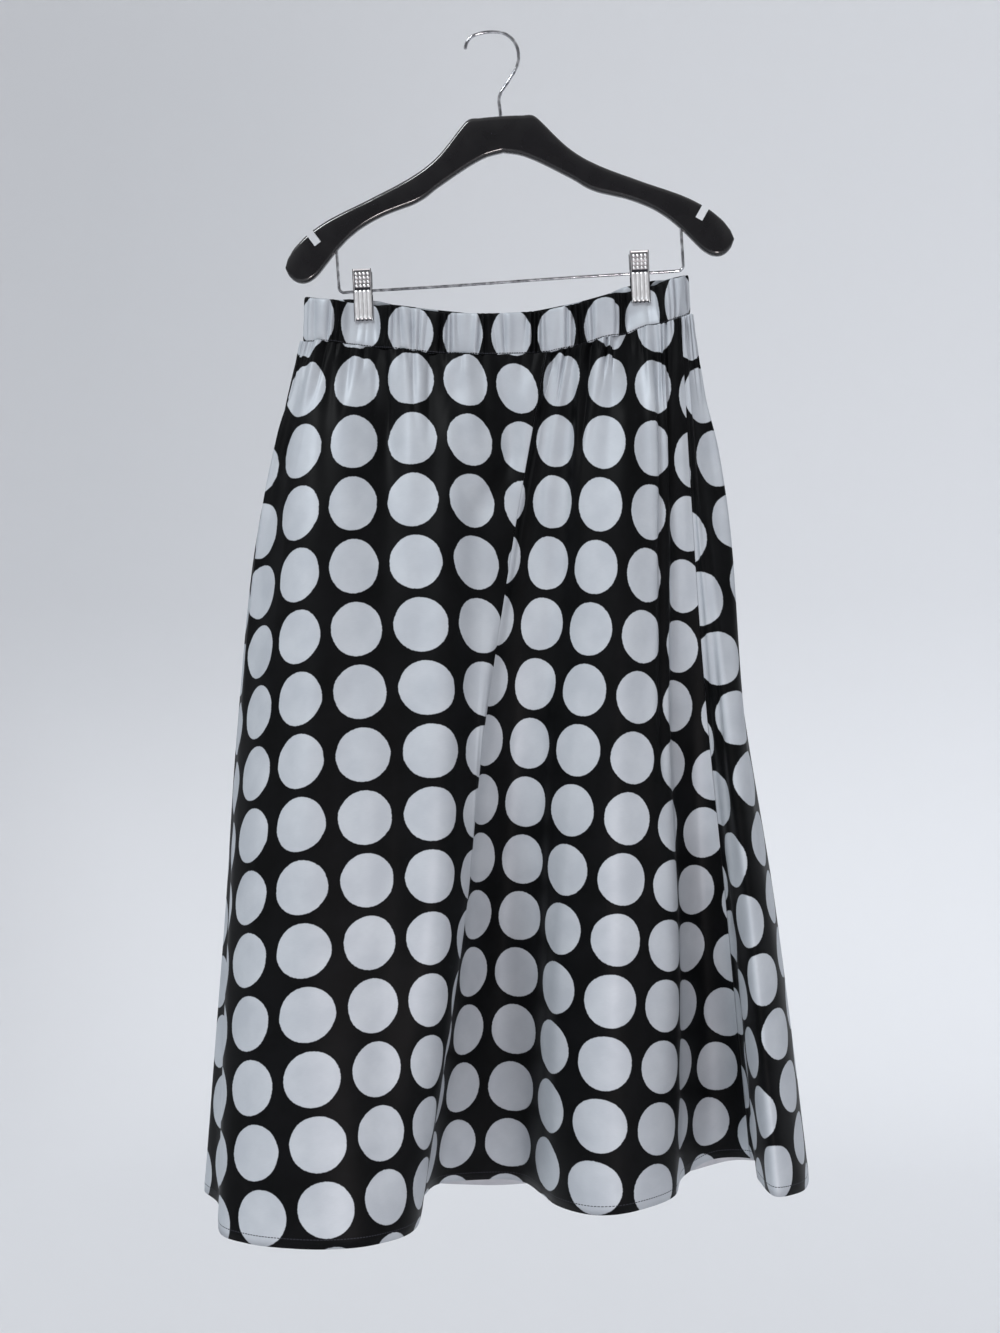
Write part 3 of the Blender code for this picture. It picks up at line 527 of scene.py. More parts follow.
def satin_reverse(name):
    """The satin's unprinted reverse: pale, duller, with the yarn's cloudy unevenness."""
    material, tree, shader = new_material(name, 0.6, Specular_IOR_Level=0.25, Sheen_Weight=0.05)
    uv = node(tree, "ShaderNodeUVMap", uv_map="print").outputs[0]
    clouds = node(tree, "ShaderNodeTexNoise", {0: uv}, in2=60.0, in3=3.0).outputs[0]
    ends = {"in6": linear("#A9ABB2"), "in7": bpy.context.scene.skirt_cloth.reverse_colour}
    colour = node(tree, "ShaderNodeMix", {0: clouds}, data_type="RGBA", **ends).outputs[2]
    tree.links.new(colour, shader.inputs["Base Color"])
    threads = node(tree, "ShaderNodeTexNoise", {0: uv}, in2=900.0, in3=2.0).outputs[0]
    bump = node(tree, "ShaderNodeBump", {2: threads}, in0=0.15, in1=0.0003).outputs[0]
    tree.links.new(bump, shader.inputs["Normal"])
    return material


def lacquered_body(name):
    """Moulded body under black gloss lacquer: a sharp clear coat over a faintly rippled, handled skin."""
    coat = {"Coat_Weight": 1.0, "Coat_Roughness": 0.07}
    material, tree, shader = new_material(name, 0.32, Specular_IOR_Level=0.2, **coat)
    place = node(tree, "ShaderNodeTexCoord").outputs["Object"]
    clouds = node(tree, "ShaderNodeTexNoise", {0: place}, in2=24.0, in3=3.0).outputs[0]
    ends = {"in6": bpy.context.scene.skirt_hanger.body_colour, "in7": linear("#0D0B0F")}
    colour = node(tree, "ShaderNodeMix", {0: clouds}, data_type="RGBA", **ends).outputs[2]
    tree.links.new(colour, shader.inputs["Base Color"])
    rubbed = node(tree, "ShaderNodeTexNoise", {0: place}, in2=60.0, in3=4.0).outputs[0]
    worn = node(tree, "ShaderNodeMapRange", {0: rubbed}, in1=0.4, in2=0.7, in3=0.26, in4=0.40).outputs[0]
    tree.links.new(worn, shader.inputs["Roughness"])
    ripple = node(tree, "ShaderNodeTexNoise", {0: place}, in2=45.0, in3=1.0).outputs[0]
    bump = node(tree, "ShaderNodeBump", {2: ripple}, in0=0.12, in1=0.0008).outputs[0]
    tree.links.new(bump, shader.inputs["Normal"])
    return material


def plated_steel(name, roughness, grain, dark, bright, low=0.3, high=0.7, pressed=False):
    """Steel wire or strip, drawn or pressed, then bright nickel and chrome plated.

    The eye sees hard reflections that waver a little along the plating, dull where it is rubbed, and
    on pressed parts darker in the hollows, which is painted shade. The colour goes from dark to bright
    as clouds, or the pressed relief in mm, go from low to high: the clouds paint dark and pale patches
    as painted reflections, and the relief paints a highlight onto the raised parts.
    """
    material, tree, shader = new_material(name, roughness, 1.0)
    place = node(tree, "ShaderNodeTexCoord").outputs["Object"]
    clouds = node(tree, "ShaderNodeTexNoise", {0: place}, in2=180.0, in3=3.0).outputs[0]
    height = node(tree, "ShaderNodeUVMap", uv_map="relief").outputs[0] if pressed else clouds
    # Painted reflection and shade: the colour runs dark to bright with the clouds, or with the pressed relief
    share = node(tree, "ShaderNodeMapRange", {0: height}, in1=low, in2=high).outputs[0]
    ends = {"in6": linear(dark), "in7": linear(bright)}
    colour = node(tree, "ShaderNodeMix", {0: share}, data_type="RGBA", **ends).outputs[2]
    tree.links.new(colour, shader.inputs["Base Color"])
    rubbed = node(tree, "ShaderNodeTexNoise", {0: place}, in2=420.0, in3=2.0).outputs[0]
    span = {"in3": 0.7 * roughness, "in4": 1.6 * roughness}
    worn = node(tree, "ShaderNodeMapRange", {0: rubbed}, **span).outputs[0]
    tree.links.new(worn, shader.inputs["Roughness"])
    bump = node(tree, "ShaderNodeBump", {2: clouds}, in0=grain, in1=0.0004).outputs[0]
    tree.links.new(bump, shader.inputs["Normal"])
    return material


def chrome_wire():
    """Bright wire whose colour is painted in dark and pale patches, painted reflections for the lines it
    mirrors.
    """
    return shared("chromed steel wire", lambda n: plated_steel(n, 0.12, 0.05, "#74757A", "#DEDFE3"))


def clip_steel():
    """Pressed strip, with a painted highlight on the raised parts and painted shade in the hollows between
    them.
    """
    tones = {"dark": "#3E3F44", "bright": "#FCFCFD", "low": 0.0, "high": 0.14}
    return shared("chromed pressed steel", lambda n: plated_steel(n, 0.33, 0.08, pressed=True, **tones))


def shared(name, make):
    """The material of that name, made the first time that it is asked for."""
    found = bpy.data.materials.get(name)
    return found if found else make(name)


# Meshes


def new_piece(name, points, faces, materials, slots=None, uvs=None, smooth_shaded=True):
    """A mesh object from points in mm and quads; slots are faces' materials, uvs are given per point."""
    mesh = bpy.data.meshes.new(name)
    points = np.asarray(points, np.float32) * MM
    faces = np.asarray(faces, np.int32)
    mesh.vertices.add(len(points))
    mesh.vertices.foreach_set("co", points.ravel())
    mesh.loops.add(faces.size)
    mesh.loops.foreach_set("vertex_index", faces.ravel())
    mesh.polygons.add(len(faces))
    mesh.polygons.foreach_set("loop_start", np.arange(0, faces.size, faces.shape[1], dtype=np.int32))
    mesh.update(calc_edges=True)
    for key, values in (uvs or {}).items():
        layer = mesh.uv_layers.new(name=key)
        layer.data.foreach_set("uv", np.asarray(values, np.float32)[faces.ravel()].ravel())
    for material in materials:
        mesh.materials.append(material)
    if slots is not None:
        mesh.polygons.foreach_set("material_index", np.asarray(slots, np.int32))
    mesh.polygons.foreach_set("use_smooth", np.full(len(faces), smooth_shaded))
    obj = bpy.data.objects.new(name, mesh)
    bpy.context.scene.collection.objects.link(obj)
    return obj


def place_piece(obj, slot, *nodes):
    """A finished piece rides on the one body and stands for its CAD nodes, which it hides."""
    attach(obj, "root")
    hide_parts(*nodes)
    return obj


def grid_faces(rows, columns, closed=False, start=0, flipped=False):
    """Quads of a grid numbered along its rows; closed joins the last column to the first."""
    i, j = np.meshgrid(np.arange(rows - 1), np.arange(columns if closed else columns - 1), indexing="ij")
    k = (j + 1) % columns
    quads = np.stack([i * columns + j, i * columns + k, (i + 1) * columns + k, (i + 1) * columns + j], -1)
    quads = quads.reshape(-1, 4) + start
    return quads[:, ::-1] if flipped else quads


def rim_faces(loop, shift):
    """Quads from each point of an open edge to its partner `shift` further on."""
    return np.stack([loop[:-1], loop[1:], loop[1:] + shift, loop[:-1] + shift], -1)


def shell(name, outer, inner, materials, uvs=None):
    """A closed thin plate between two grids: the first material outside and on the rim, the last inside."""
    rows, columns, _ = outer.shape
    count = rows * columns
    index = np.arange(count).reshape(rows, columns)
    front = grid_faces(rows, columns, flipped=True)
    back = grid_faces(rows, columns, start=count)
    rim = np.concatenate([
        rim_faces(index[0], count), rim_faces(index[-1, ::-1], count),
        rim_faces(index[::-1, 0], count), rim_faces(index[:, -1], count),
    ])
    faces = np.concatenate([front, back, rim])
    slots = np.zeros(len(faces))
    slots[len(front) : len(front) + len(back)] = len(materials) - 1
    points = np.concatenate([outer.reshape(-1, 3), inner.reshape(-1, 3)])
    doubled = {key: np.concatenate([value, value]) for key, value in (uvs or {}).items()}
    return new_piece(name, points, faces, materials, slots=slots, uvs=doubled)


def tube(points, radius, sides, up=(0.0, 1.0, 0.0)):
    """Points and quads of a round wire: a circle square to its line, shrinking to domes at the ends."""
    points = np.asarray(points, float)
    ahead = np.gradient(points, axis=0)
    ahead = ahead / np.linalg.norm(ahead, axis=1, keepdims=True)
    dome = np.array([0.0, 0.3, 0.6, 0.85, 1.0])
    first = points[0] + ahead[0] * radius * (dome[:, None] - 1.0)
    last = points[-1] - ahead[-1] * radius * (dome[::-1, None] - 1.0)
    sizes = np.sqrt(np.clip(1.0 - (1.0 - dome) ** 2, 4e-4, 1.0)) * radius
    line = np.concatenate([first, points[1:-1], last])
    sizes = np.concatenate([sizes, np.full(len(points) - 2, float(radius)), sizes[::-1]])
    ahead = np.concatenate([np.repeat(ahead[:1], 5, 0), ahead[1:-1], np.repeat(ahead[-1:], 5, 0)])
    aside = np.cross(ahead, up)
    aside = aside / np.linalg.norm(aside, axis=1, keepdims=True)
    other = np.cross(ahead, aside)
    angle = np.arange(sides) * 2 * math.pi / sides
    ring = np.cos(angle)[None, :, None] * aside[:, None] + np.sin(angle)[None, :, None] * other[:, None]
    made = line[:, None] + ring * sizes[:, None, None]
    return made.reshape(-1, 3), grid_faces(len(line), sides, closed=True)


def joined(parts):
    """Several (points, faces) as one."""
    points, faces, start = [], [], 0
    for some_points, some_faces in parts:
        points.append(some_points)
        faces.append(some_faces + start)
        start += len(some_points)
    return np.concatenate(points), np.concatenate(faces)


def eased(points, count):
    """Points spread evenly along a smooth line through the given ones."""
    points = np.asarray(points, float)
    along = np.concatenate([[0.0], np.cumsum(np.linalg.norm(np.diff(points, axis=0), axis=1))])
    return smooth(along, points.T, np.linspace(0.0, along[-1], count)[None, :]).T


# Panels: where each starts and ends round the skirt, its rows and columns, its flat cut in m and m2
PANELS = {
    "front_left": (0.0, FRONT_SEAM, (132, 336), (0.46, 0.84), 0.298),
    "front_right": (FRONT_SEAM, RIGHT_SEAM, (132, 336), (0.50, 0.84), 0.274),
    "back": (RIGHT_SEAM, 1.0, (126, 372), (1.04, 0.85), 0.625),
}


def make_panel(panel):
    """One panel of cloth as a thin closed sheet, with its print, its hem and its stitching laid on it."""
    start, end, (rows, columns) = PANELS[panel][:3]
    # Rows stand closer under the band, and a seam is a gap of this share of the loop on each side
    fall = np.linspace(0.0, 1.0, rows) ** 1.35
    gap = 0.00012
    at = np.repeat(np.linspace(start + gap, end - gap, columns)[None, :], rows, 0)
    outer, normal, base = drape(at, fall)
    across, down = print_place(panel, at, fall, base, outer)
    # The turned-up hem is thicker, stands out a little and rolls in at its edge
    left = base[..., 2] - base[-1:, :, 2]
    turned_up = 1.0 - ramp(left, *HEM_TURN)
    thick = SHEET_WALL * (1.0 + 0.6 * turned_up)
    outer = outer + normal * (0.25 * turned_up - 0.5 * (1.0 - ramp(left, 0.0, HEM_ROLL)))[..., None]
    inner = outer - normal * thick[..., None]
    uvs = {
        "print": np.stack([across.ravel(), -down.ravel()], -1),
        "edge": np.stack([across.ravel(), left.ravel() * MM], -1),
    }
    dots = shared("printed satin", lambda n: dotted_satin(n, HEM_STITCH))
    reverse = shared("satin reverse", satin_reverse)
    obj = shell(f"skirt_{panel}", outer, inner, (dots, reverse), uvs)
    place_piece(obj, "cloth", f"{panel}_panel")
    return obj


def make_casing():
    """The gathered casing: a closed ring that is puckered outside and plain within.

    Each ring of the profile is the base loop at its own fall, moved out by the puckers' height times
    the share that shows there, and in by its depth. Puckers are rounded ridges between tight
    valleys, uneven in width, height and slant.
    """
    columns = BAND_GATHERS * 14
    places = np.linspace(0.0, 1.0, 2001)
    loop = base_surface(places[None, :], np.array([0.0]))[0]
    length = np.concatenate([[0.0], np.cumsum(np.linalg.norm(np.diff(loop, axis=0), axis=1))])
    even = (np.arange(columns) + 0.5) / columns
    at = np.interp(even, length / length[-1], places)
    # fall, how much of the pucker shows, how far in from the outside
    profile = (
        (-1.0, 0.2, 1.5), (-1.0, 0.45, 0.7), (-0.97, 0.6, 0.2), (-0.92, 0.8, 0.0), (-0.84, 0.95, -0.1),
        (-0.74, 1.0, -0.2), (-0.64, 1.0, -0.3), (-0.54, 1.0, -0.3), (-0.44, 1.0, -0.3), (-0.34, 1.0, -0.2),
        (-0.24, 1.0, -0.1), (-0.15, 0.9, 0.0), (-0.08, 0.7, 0.2), (-0.03, 0.45, 0.6), (0.0, 0.25, 1.1),
        (0.0, 0.0, 1.8), (0.0, 0.0, 2.5), (-0.1, 0.0, BAND_WALL), (-0.5, 0.0, BAND_WALL),
        (-0.95, 0.0, BAND_WALL), (-1.0, 0.0, 2.2),
    )
    rings, bases = [], []
    for fall, shows, depth in profile:
        one = np.array([fall])
        base = base_surface(at[None, :], one)
        slant = 0.75 * uneven(even, 31) + 0.5 * uneven(even, 32) * (fall + 0.5)
        ridge = ridges(BAND_GATHERS * even + slant, 0.004)
        height = 3.4 * (1.0 + 0.5 * uneven(even, 33)) * (1.0 + 0.5 * uneven(even, 35) * (fall + 0.5))
        broad = uneven(even * 2.0, 34) * (1.0 - abs(2.0 * fall + 1.0))
        rise = ((ridge - 0.62) * height + broad) * shows * (1.0 - 0.8 * near_clip(base[..., 0]))
        rings.append(base + outward(at[None, :], one) * (rise - depth)[..., None])
        bases.append(base)
    points, base = np.concatenate(rings), np.concatenate(bases)
    # Rings of the profile that the print is laid by, which runs along the one half way up
    near_top, half_way, near_stitch, on_stitch = 3, 7, 13, 14
    plain, hop = (np.linalg.norm(np.roll(a, -1, 0) - a, axis=1) for a in (base[half_way], points[half_way]))
    hop = hop * running_mean(plain, 14, "wrap") / running_mean(hop, 14, "wrap")
    length = np.concatenate([[0.0], np.cumsum(hop)])
    placed = np.append(at, 1.0)
    front = np.array([np.interp(place_at("front", x, -0.5), placed, length) for x, _ in BAND_DOTS])
    behind = length[-1] - front[-1] + front[0]
    more = round(behind * BAND_FULLNESS / PITCH_ACROSS)
    back = front[-1] + behind * np.arange(1, more + 1) / more
    dots = np.concatenate([[front[0] - behind / more], front, back])
    across = np.interp(length[:-1], dots, PITCH_ACROSS * np.arange(-1, len(dots) - 1))
    low = np.interp(length[:-1], dots, [0.0, *(down for _, down in BAND_DOTS)] + [0.0] * more)
    middle = (base[near_top, :, 2] + base[near_stitch, :, 2]) / 2 - low
    down = middle[None, :] - base[..., 2]
    across = np.repeat(across[None, :], len(profile), 0)
    uvs = {
        "print": np.stack([across.ravel() * MM, -down.ravel() * MM], -1),
        "edge": np.stack([across.ravel() * MM, (base[..., 2] - base[on_stitch, :, 2]).ravel() * MM], -1),
    }
    faces = grid_faces(len(profile), columns, closed=True, flipped=True)
    last = (len(profile) - 1) * columns + np.arange(columns)
    first = np.arange(columns)
    faces = np.concatenate([faces, np.stack([np.roll(last, -1), last, first, np.roll(first, -1)], -1)])
    cloth = shared("printed satin, gathered", lambda n: dotted_satin(n, BAND_STITCH))
    obj = new_piece("waist_casing", points.reshape(-1, 3), faces, (cloth,), uvs=uvs)
    # The faces that close the ring carry the print on past its last whole dot
    corner = faces % columns
    closing = (corner == 0) & (corner == columns - 1).any(axis=1, keepdims=True)
    layer = obj.data.uv_layers["print"].data
    laid = np.empty(2 * faces.size, np.float32)
    layer.foreach_get("uv", laid)
    laid[0::2] += closing.ravel() * (len(dots) - 2) * PITCH_ACROSS * MM
    layer.foreach_set("uv", laid)
    return place_piece(obj, "band_cloth", "waistband")


# Hanger, in its own frame: x along it, heights from its top
TILT = math.radians(3.75)
BODY_TOP = (8.0, -80.9)
BODY_THICK = 11.0
BODY_CORNER = 4.5
BODY_HALF = 218.55
# Its columns are evenly spread as far as BODY_EVEN and closer beyond, and it thins by a tenth over BODY_TAPER
BODY_EVEN = 205.0
BODY_TAPER = (200.0, 218.6)
BODY_TOP_LINE = (
    (0.0, 0.0), (20.0, 0.6), (32.7, 2.0), (41.9, 11.2), (50.7, 21.4), (62.0, 33.4), (75.1, 44.0),
    (90.0, 53.0), (107.3, 61.4), (123.0, 68.2), (138.5, 74.9), (158.9, 83.2), (174.0, 90.0),
    (185.3, 96.3), (202.8, 109.2), (213.2, 121.0), (217.4, 129.0), (218.6, 134.0),
)
BODY_UNDER_LINE = (
    (0.0, 35.6), (17.6, 39.4), (30.0, 44.9), (42.9, 52.0), (56.0, 59.8), (68.3, 67.4), (79.0, 74.9),
    (88.7, 79.6), (103.0, 84.0), (118.0, 88.7), (132.0, 94.6), (146.3, 102.6), (158.0, 111.6),
    (169.7, 123.0), (179.0, 133.6), (188.2, 143.6), (198.0, 149.4), (206.0, 149.6), (213.0, 145.5),
    (217.0, 140.0), (218.6, 135.5),
)
NOTCH_AT = (191.6, 104.3)
NOTCH_WIDE = 7.5
NOTCH_DEEP = 11.0
NOTCH_LEAN = math.radians(33.0)
HOOK_LINE = (
    (-26.6, -14.2), (-25.2, -9.2), (-20.9, -3.6), (-14.0, -0.3), (-7.0, 1.2), (0.0, 1.6), (7.4, 1.0),
    (14.0, -1.2), (20.0, -6.4), (24.0, -13.4), (25.4, -21.0), (24.8, -28.6), (22.2, -35.4), (17.0, -44.2),
    (12.0, -51.6), (8.2, -57.6), (6.4, -63.6), (7.0, -72.0), (7.8, -79.5), (7.8, -88.0),
)
HOOK_RADIUS = 1.6
BAR_RADIUS = 1.45
BAR_HALF = 168.2
BAR_DROP = 161.4
BAR_CORNER = 5.0
BAR_END = -113.0
BORE_CLEAR = 0.35


def hanger_frame(points):
    """Points in the hanger's own frame, tilted and set below the hook."""
    points = np.asarray(points, float)
    x = BODY_TOP[0] + points[..., 0] * math.cos(TILT) - points[..., 2] * math.sin(TILT)
    z = BODY_TOP[1] + points[..., 0] * math.sin(TILT) + points[..., 2] * math.cos(TILT)
    return np.stack([x, points[..., 1], z], axis=-1)


def half_line(line, at):
    """Heights of one outline at the given x, alike on both sides of the middle, on a cubic."""
    x, down = np.array(line).T
    return -smooth(x, down[None, :], np.abs(at)[None, :])[0]


def block(size, angle, middle):
    """Points and quads of a box, turned about the y axis and moved to its middle."""
    corners = np.array([(x, y, z) for x in (-0.5, 0.5) for y in (-0.5, 0.5) for z in (-0.5, 0.5)]) * size
    quads = [(0, 1, 3, 2), (4, 6, 7, 5), (0, 4, 5, 1), (2, 3, 7, 6), (0, 2, 6, 4), (1, 5, 7, 3)]
    return about_y(corners, angle) + middle, np.array(quads)


def about_y(points, angle):
    """Points turned about the y axis."""
    x = points[..., 0] * math.cos(angle) + points[..., 2] * math.sin(angle)
    z = -points[..., 0] * math.sin(angle) + points[..., 2] * math.cos(angle)
    return np.stack([x, points[..., 1], z], -1)


def cut_out(obj, cutters):
    """Takes the cutters out of a mesh, and leaves a plain mesh with smooth faces and sharp edges."""
    for points, faces in cutters:
        tool = new_piece("cutting_tool", points, faces, (), smooth_shaded=False)
        change = obj.modifiers.new("cut", "BOOLEAN")
        change.object = tool
        change.operation = "DIFFERENCE"
        change.solver = "EXACT"
        bpy.context.view_layer.update()
        changed = bpy.data.meshes.new_from_object(obj.evaluated_get(bpy.context.evaluated_depsgraph_get()))
        obj.modifiers.clear()
        old, obj.data = obj.data, changed
        changed.name = obj.name
        bpy.data.meshes.remove(old)
        bpy.data.objects.remove(tool)
    obj.data.set_sharp_from_angle(angle=math.radians(38))
    return obj


def make_hanger_body():
    """The body: a rounded section carried along between the two outlines, with two slots and three bores.

    The section is a rectangle with round corners, as tall as the outlines are apart there.
    """
    closer = np.sin(np.linspace(0, math.pi / 2, 16))[1:]
    spread = np.concatenate([np.linspace(0.0, BODY_EVEN, 110), BODY_EVEN + (BODY_HALF - BODY_EVEN) * closer])
    xs = np.concatenate([-spread[:0:-1], spread])
    top, under = half_line(BODY_TOP_LINE, xs), half_line(BODY_UNDER_LINE, xs)
    corner = np.minimum(BODY_CORNER, 0.48 * (top - under))
    half = BODY_THICK / 2 * (1.0 - 0.10 * ramp(np.abs(xs), *BODY_TAPER))
    turn = np.radians(np.linspace(0.0, 90.0, 7))
    ring = []
    for quarter, (side_y, side_z) in enumerate(((1, 1), (-1, 1), (-1, -1), (1, -1))):
        angle = quarter * math.pi / 2 + turn
        y = side_y * (half - corner)[:, None] + corner[:, None] * np.cos(angle)
        edge = np.where(side_z > 0, top - corner, under + corner)
        z = edge[:, None] + corner[:, None] * np.sin(angle)
        ring.append(np.stack([np.repeat(xs[:, None], len(turn), 1), y, z], -1))
    ring = np.concatenate(ring, axis=1)
    count = ring.shape[1]
    faces = grid_faces(len(xs), count, closed=True)
    points = hanger_frame(ring).reshape(-1, 3)
    across_end = np.arange(count // 2 - 1)
    cap = np.stack([across_end, across_end + 1, count - 2 - across_end, count - 1 - across_end], -1)
    ends = [cap[:, ::-1], cap + len(points) - count]
    faces = np.concatenate([faces] + ends)
    body = new_piece("hanger_shape", points, faces, (shared("black lacquer", lacquered_body),))
    cutters = []
    for side in (-1, 1):
        middle = hanger_frame([(side * NOTCH_AT[0], 0.0, -NOTCH_AT[1])])[0]
        size = np.array((NOTCH_WIDE, 2 * BODY_THICK, 2 * NOTCH_DEEP))
        cutters.append(block(size, side * NOTCH_LEAN - TILT, middle))
        line = hanger_frame([(side * BAR_HALF, 0.0, z) for z in np.linspace(-145, BAR_END + 1.0, 6)])
        cutters.append(tube(line, BAR_RADIUS + BORE_CLEAR, 20))
    line = [(HOOK_LINE[-2][0], 0.0, HOOK_LINE[-2][1] + z) for z in np.linspace(-12, 8, 6)]
    cutters.append(tube(line, HOOK_RADIUS + BORE_CLEAR, 20))
    return place_piece(cut_out(body, cutters), "hanger_plastic", "hanger_body")


def make_wires():
    """The hook and the bar: round wires along smooth lines. The bar's long run waves a quarter of a mm."""
    line = [(x, 0.0, z) for x, z in eased(HOOK_LINE, 140)]
    hook = new_piece("hook_wire", *tube(line, HOOK_RADIUS, 24), (chrome_wire(),))
    place_piece(hook, "chrome", "hanger_hook")
    angle = np.linspace(0.0, math.pi / 2, 11)
    x = np.concatenate([[BAR_HALF] * 8, BAR_HALF - BAR_CORNER * (1.0 - np.cos(angle))])
    z = np.concatenate([np.linspace(BAR_END, -154, 8), -BAR_DROP + BAR_CORNER * (1.0 - np.sin(angle))])
    right = np.stack([x, np.zeros(len(x)), z], -1)
    span = np.linspace(-158, 158, 60)
    middle = np.stack([span, np.zeros(len(span)), -BAR_DROP + 0.25 * np.sin(span / 37.0)], -1)
    line = hanger_frame(np.concatenate([right * (-1.0, 1.0, 1.0), middle, right[::-1]]))
    bar = new_piece("bar_wire", *tube(line, BAR_RADIUS, 20), (chrome_wire(),))
    place_piece(bar, "chrome", "clip_bar")


# Clips, in their own frame: x along the bar, z up from it
CLIP_TILT = math.radians(2.5)
CLIP_HALF_WIDTH = 9.2
JAW_THICK = 1.0
JAW_LINE = (
    (20.5, 8.2), (14.0, 7.4), (7.0, 5.9), (2.0, 5.1), (-6.0, 4.8), (-16.0, 4.8), (-27.0, 4.8), (-30.0, 5.3),
)
BEAD_PITCH = 3.8
FLUTES_AT = (-6.0, -2.0, 2.0, 6.0)
FLUTE_HALF = 2.1
# Ears: a disc cut off above, below, behind and before the bar. The front jaw's stand outside the back jaw's.
EAR_ROUND = 5.3
EAR_HIGH = 3.6
EAR_BACK = 3.6
EAR_DEEP = 4.9
EAR_HALF = 0.45
EAR_BORE = 1.85
EAR_X = {-1: 8.7, 1: 7.3}
COIL_RADIUS = 2.5
COIL_WIRE = 0.45
COIL_TURNS = 4.5
COIL_HALF = 4.2
COIL_LEG = np.array((4.8, 4.4, 12.0))


def clip_frame(points, clip_x):
    """Points in a clip's own frame, tilted and set on the bar where it passes clip_x."""
    along = (clip_x - BODY_TOP[0] - BAR_DROP * math.sin(TILT)) / math.cos(TILT)
    return about_y(np.asarray(points, float), -CLIP_TILT) + hanger_frame([(along, 0.0, -BAR_DROP)])[0]


def jaw_relief(x, z):
    """Height of what is pressed into a jaw: a rim, round grip dots above, four ridged flutes below.

    A flute falls evenly to both sides from its ridge, which is a little rounded.
    """
    side = ramp(np.abs(x), 7.6, 8.4)
    rim = 0.35 * (side + ramp(z, 18.6, 19.4) * (1.0 - side))
    bead_x = np.cos(2 * math.pi * (x + 1.9) / BEAD_PITCH)
    bead_z = np.cos(2 * math.pi * (z - 4.4) / BEAD_PITCH)
    beads = 0.1 + 0.65 * np.clip(bead_x * 0.5 + bead_z * 0.5, 0.0, 1.0) ** 1.2
    beads = beads * (1.0 - ramp(np.abs(x), 7.0, 7.7)) * ramp(z, 2.6, 3.2) * (1.0 - ramp(z, 17.6, 18.4))
    away = ((x - middle) / FLUTE_HALF for middle in FLUTES_AT)
    ridge = sum(np.clip(1.1 - np.sqrt(a**2 + 0.01), 0.0, 1.0) for a in away)
    flute = 0.9 * ridge * (1.0 - ramp(z, -1.5, 0.5)) * ramp(z, -29.0, -26.5)
    return rim + beads + flute


def make_jaw(name, clip_x, side, node_name):
    """One jaw: its bent plate with pressed relief and a scalloped lip, and two rounded ears for the bar.

    The plate follows its side line, moved out by half its thickness and the relief, and its long
    edges curl in. An ear is a flat ring between the bar's bore and a rounded outline.
    """
    wide, tall = 57, 121
    x = np.linspace(-CLIP_HALF_WIDTH, CLIP_HALF_WIDTH, wide)
    z, out = (np.repeat(part[:, None], wide, 1) for part in eased(JAW_LINE, tall).T)
    lip = ramp(-z, 27.5, 30.0)
    z = z + 0.9 * lip * np.abs(np.sin(math.pi * 4.5 * (x / CLIP_HALF_WIDTH + 1.0) / 2.0))
    curl = 0.9 * ramp(np.abs(x), 8.3, 9.2) ** 2
    relief = jaw_relief(x[None, :], z)
    xs = np.broadcast_to(x * -side, z.shape)
    outer = clip_frame(np.stack([xs, side * (out + JAW_THICK / 2 + relief - curl), z], -1), clip_x)
    inner = clip_frame(np.stack([xs, side * (out - JAW_THICK / 2), z], -1), clip_x)
    # Painted shade in the hollows and along the cut sides, painted highlight on the raised parts
    painted_light_relief = (relief * (1.0 - ramp(np.abs(x), 8.2, 8.8))).ravel()
    pressed = np.stack([painted_light_relief, np.zeros(painted_light_relief.size)], -1)
    plate = shell(name, outer, inner, (clip_steel(),), {"relief": pressed})
    turn = np.linspace(0.0, 2 * math.pi, 33)[:-1]
    reach = np.stack([np.cos(turn), np.sin(turn)], -1)
    edge = np.clip(EAR_ROUND * reach, (-EAR_BACK, -EAR_HIGH), (EAR_DEEP, EAR_HIGH)).T
    bore = EAR_BORE * reach.T
    section = ((-EAR_HALF, bore), (-EAR_HALF, edge), (EAR_HALF, edge), (EAR_HALF, bore), (-EAR_HALF, bore))
    quads = grid_faces(len(section), len(turn), closed=True, flipped=side > 0)
    parts = []
    for ear in (-EAR_X[side], EAR_X[side]):
        loops = [np.stack([np.full(len(turn), ear + x), side * y, z], -1) for x, (y, z) in section]
        parts.append((clip_frame(np.concatenate(loops), clip_x), quads))
    points, faces = joined(parts)
    ears = new_piece(f"{name}_ears", points, faces, (chrome_wire(),))
    ears.data.set_sharp_from_angle(angle=math.radians(40))
    place_piece(plate, "clip_metal", node_name)
    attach(ears, "root")


def make_spring(name, clip_x, node_name):
    """A coil of wire round the bar, with a leg up inside each jaw."""
    angle = np.linspace(0.0, 2 * math.pi * COIL_TURNS, 160)
    x = np.linspace(-COIL_HALF, COIL_HALF, 160)
    coil = np.stack([x, -COIL_RADIUS * np.cos(angle), COIL_RADIUS * np.sin(angle)], -1)
    first = np.linspace(COIL_LEG * (-1.0, -1.0, 1.0), coil[0], 8)[:-1]
    last = np.linspace(coil[-1], COIL_LEG, 8)[1:]
    line = clip_frame(np.concatenate([first, coil, last]), clip_x)
    points, faces = tube(line, COIL_WIRE, 10, up=(1.0, 0.02, 0.01))
    steel = shared("drawn spring steel", lambda n: plated_steel(n, 0.28, 0.08, "#8E9096", "#C9CACE"))
    place_piece(new_piece(name, points, faces, (steel,)), "spring_steel", node_name)


# Operators, sizes and panel


def colour_property(name, description, value):
    """A colour to pick, from its sRGB hex."""
    return FloatVectorProperty(
        name=name, description=description, subtype="COLOR", size=4, default=linear(value)
    )


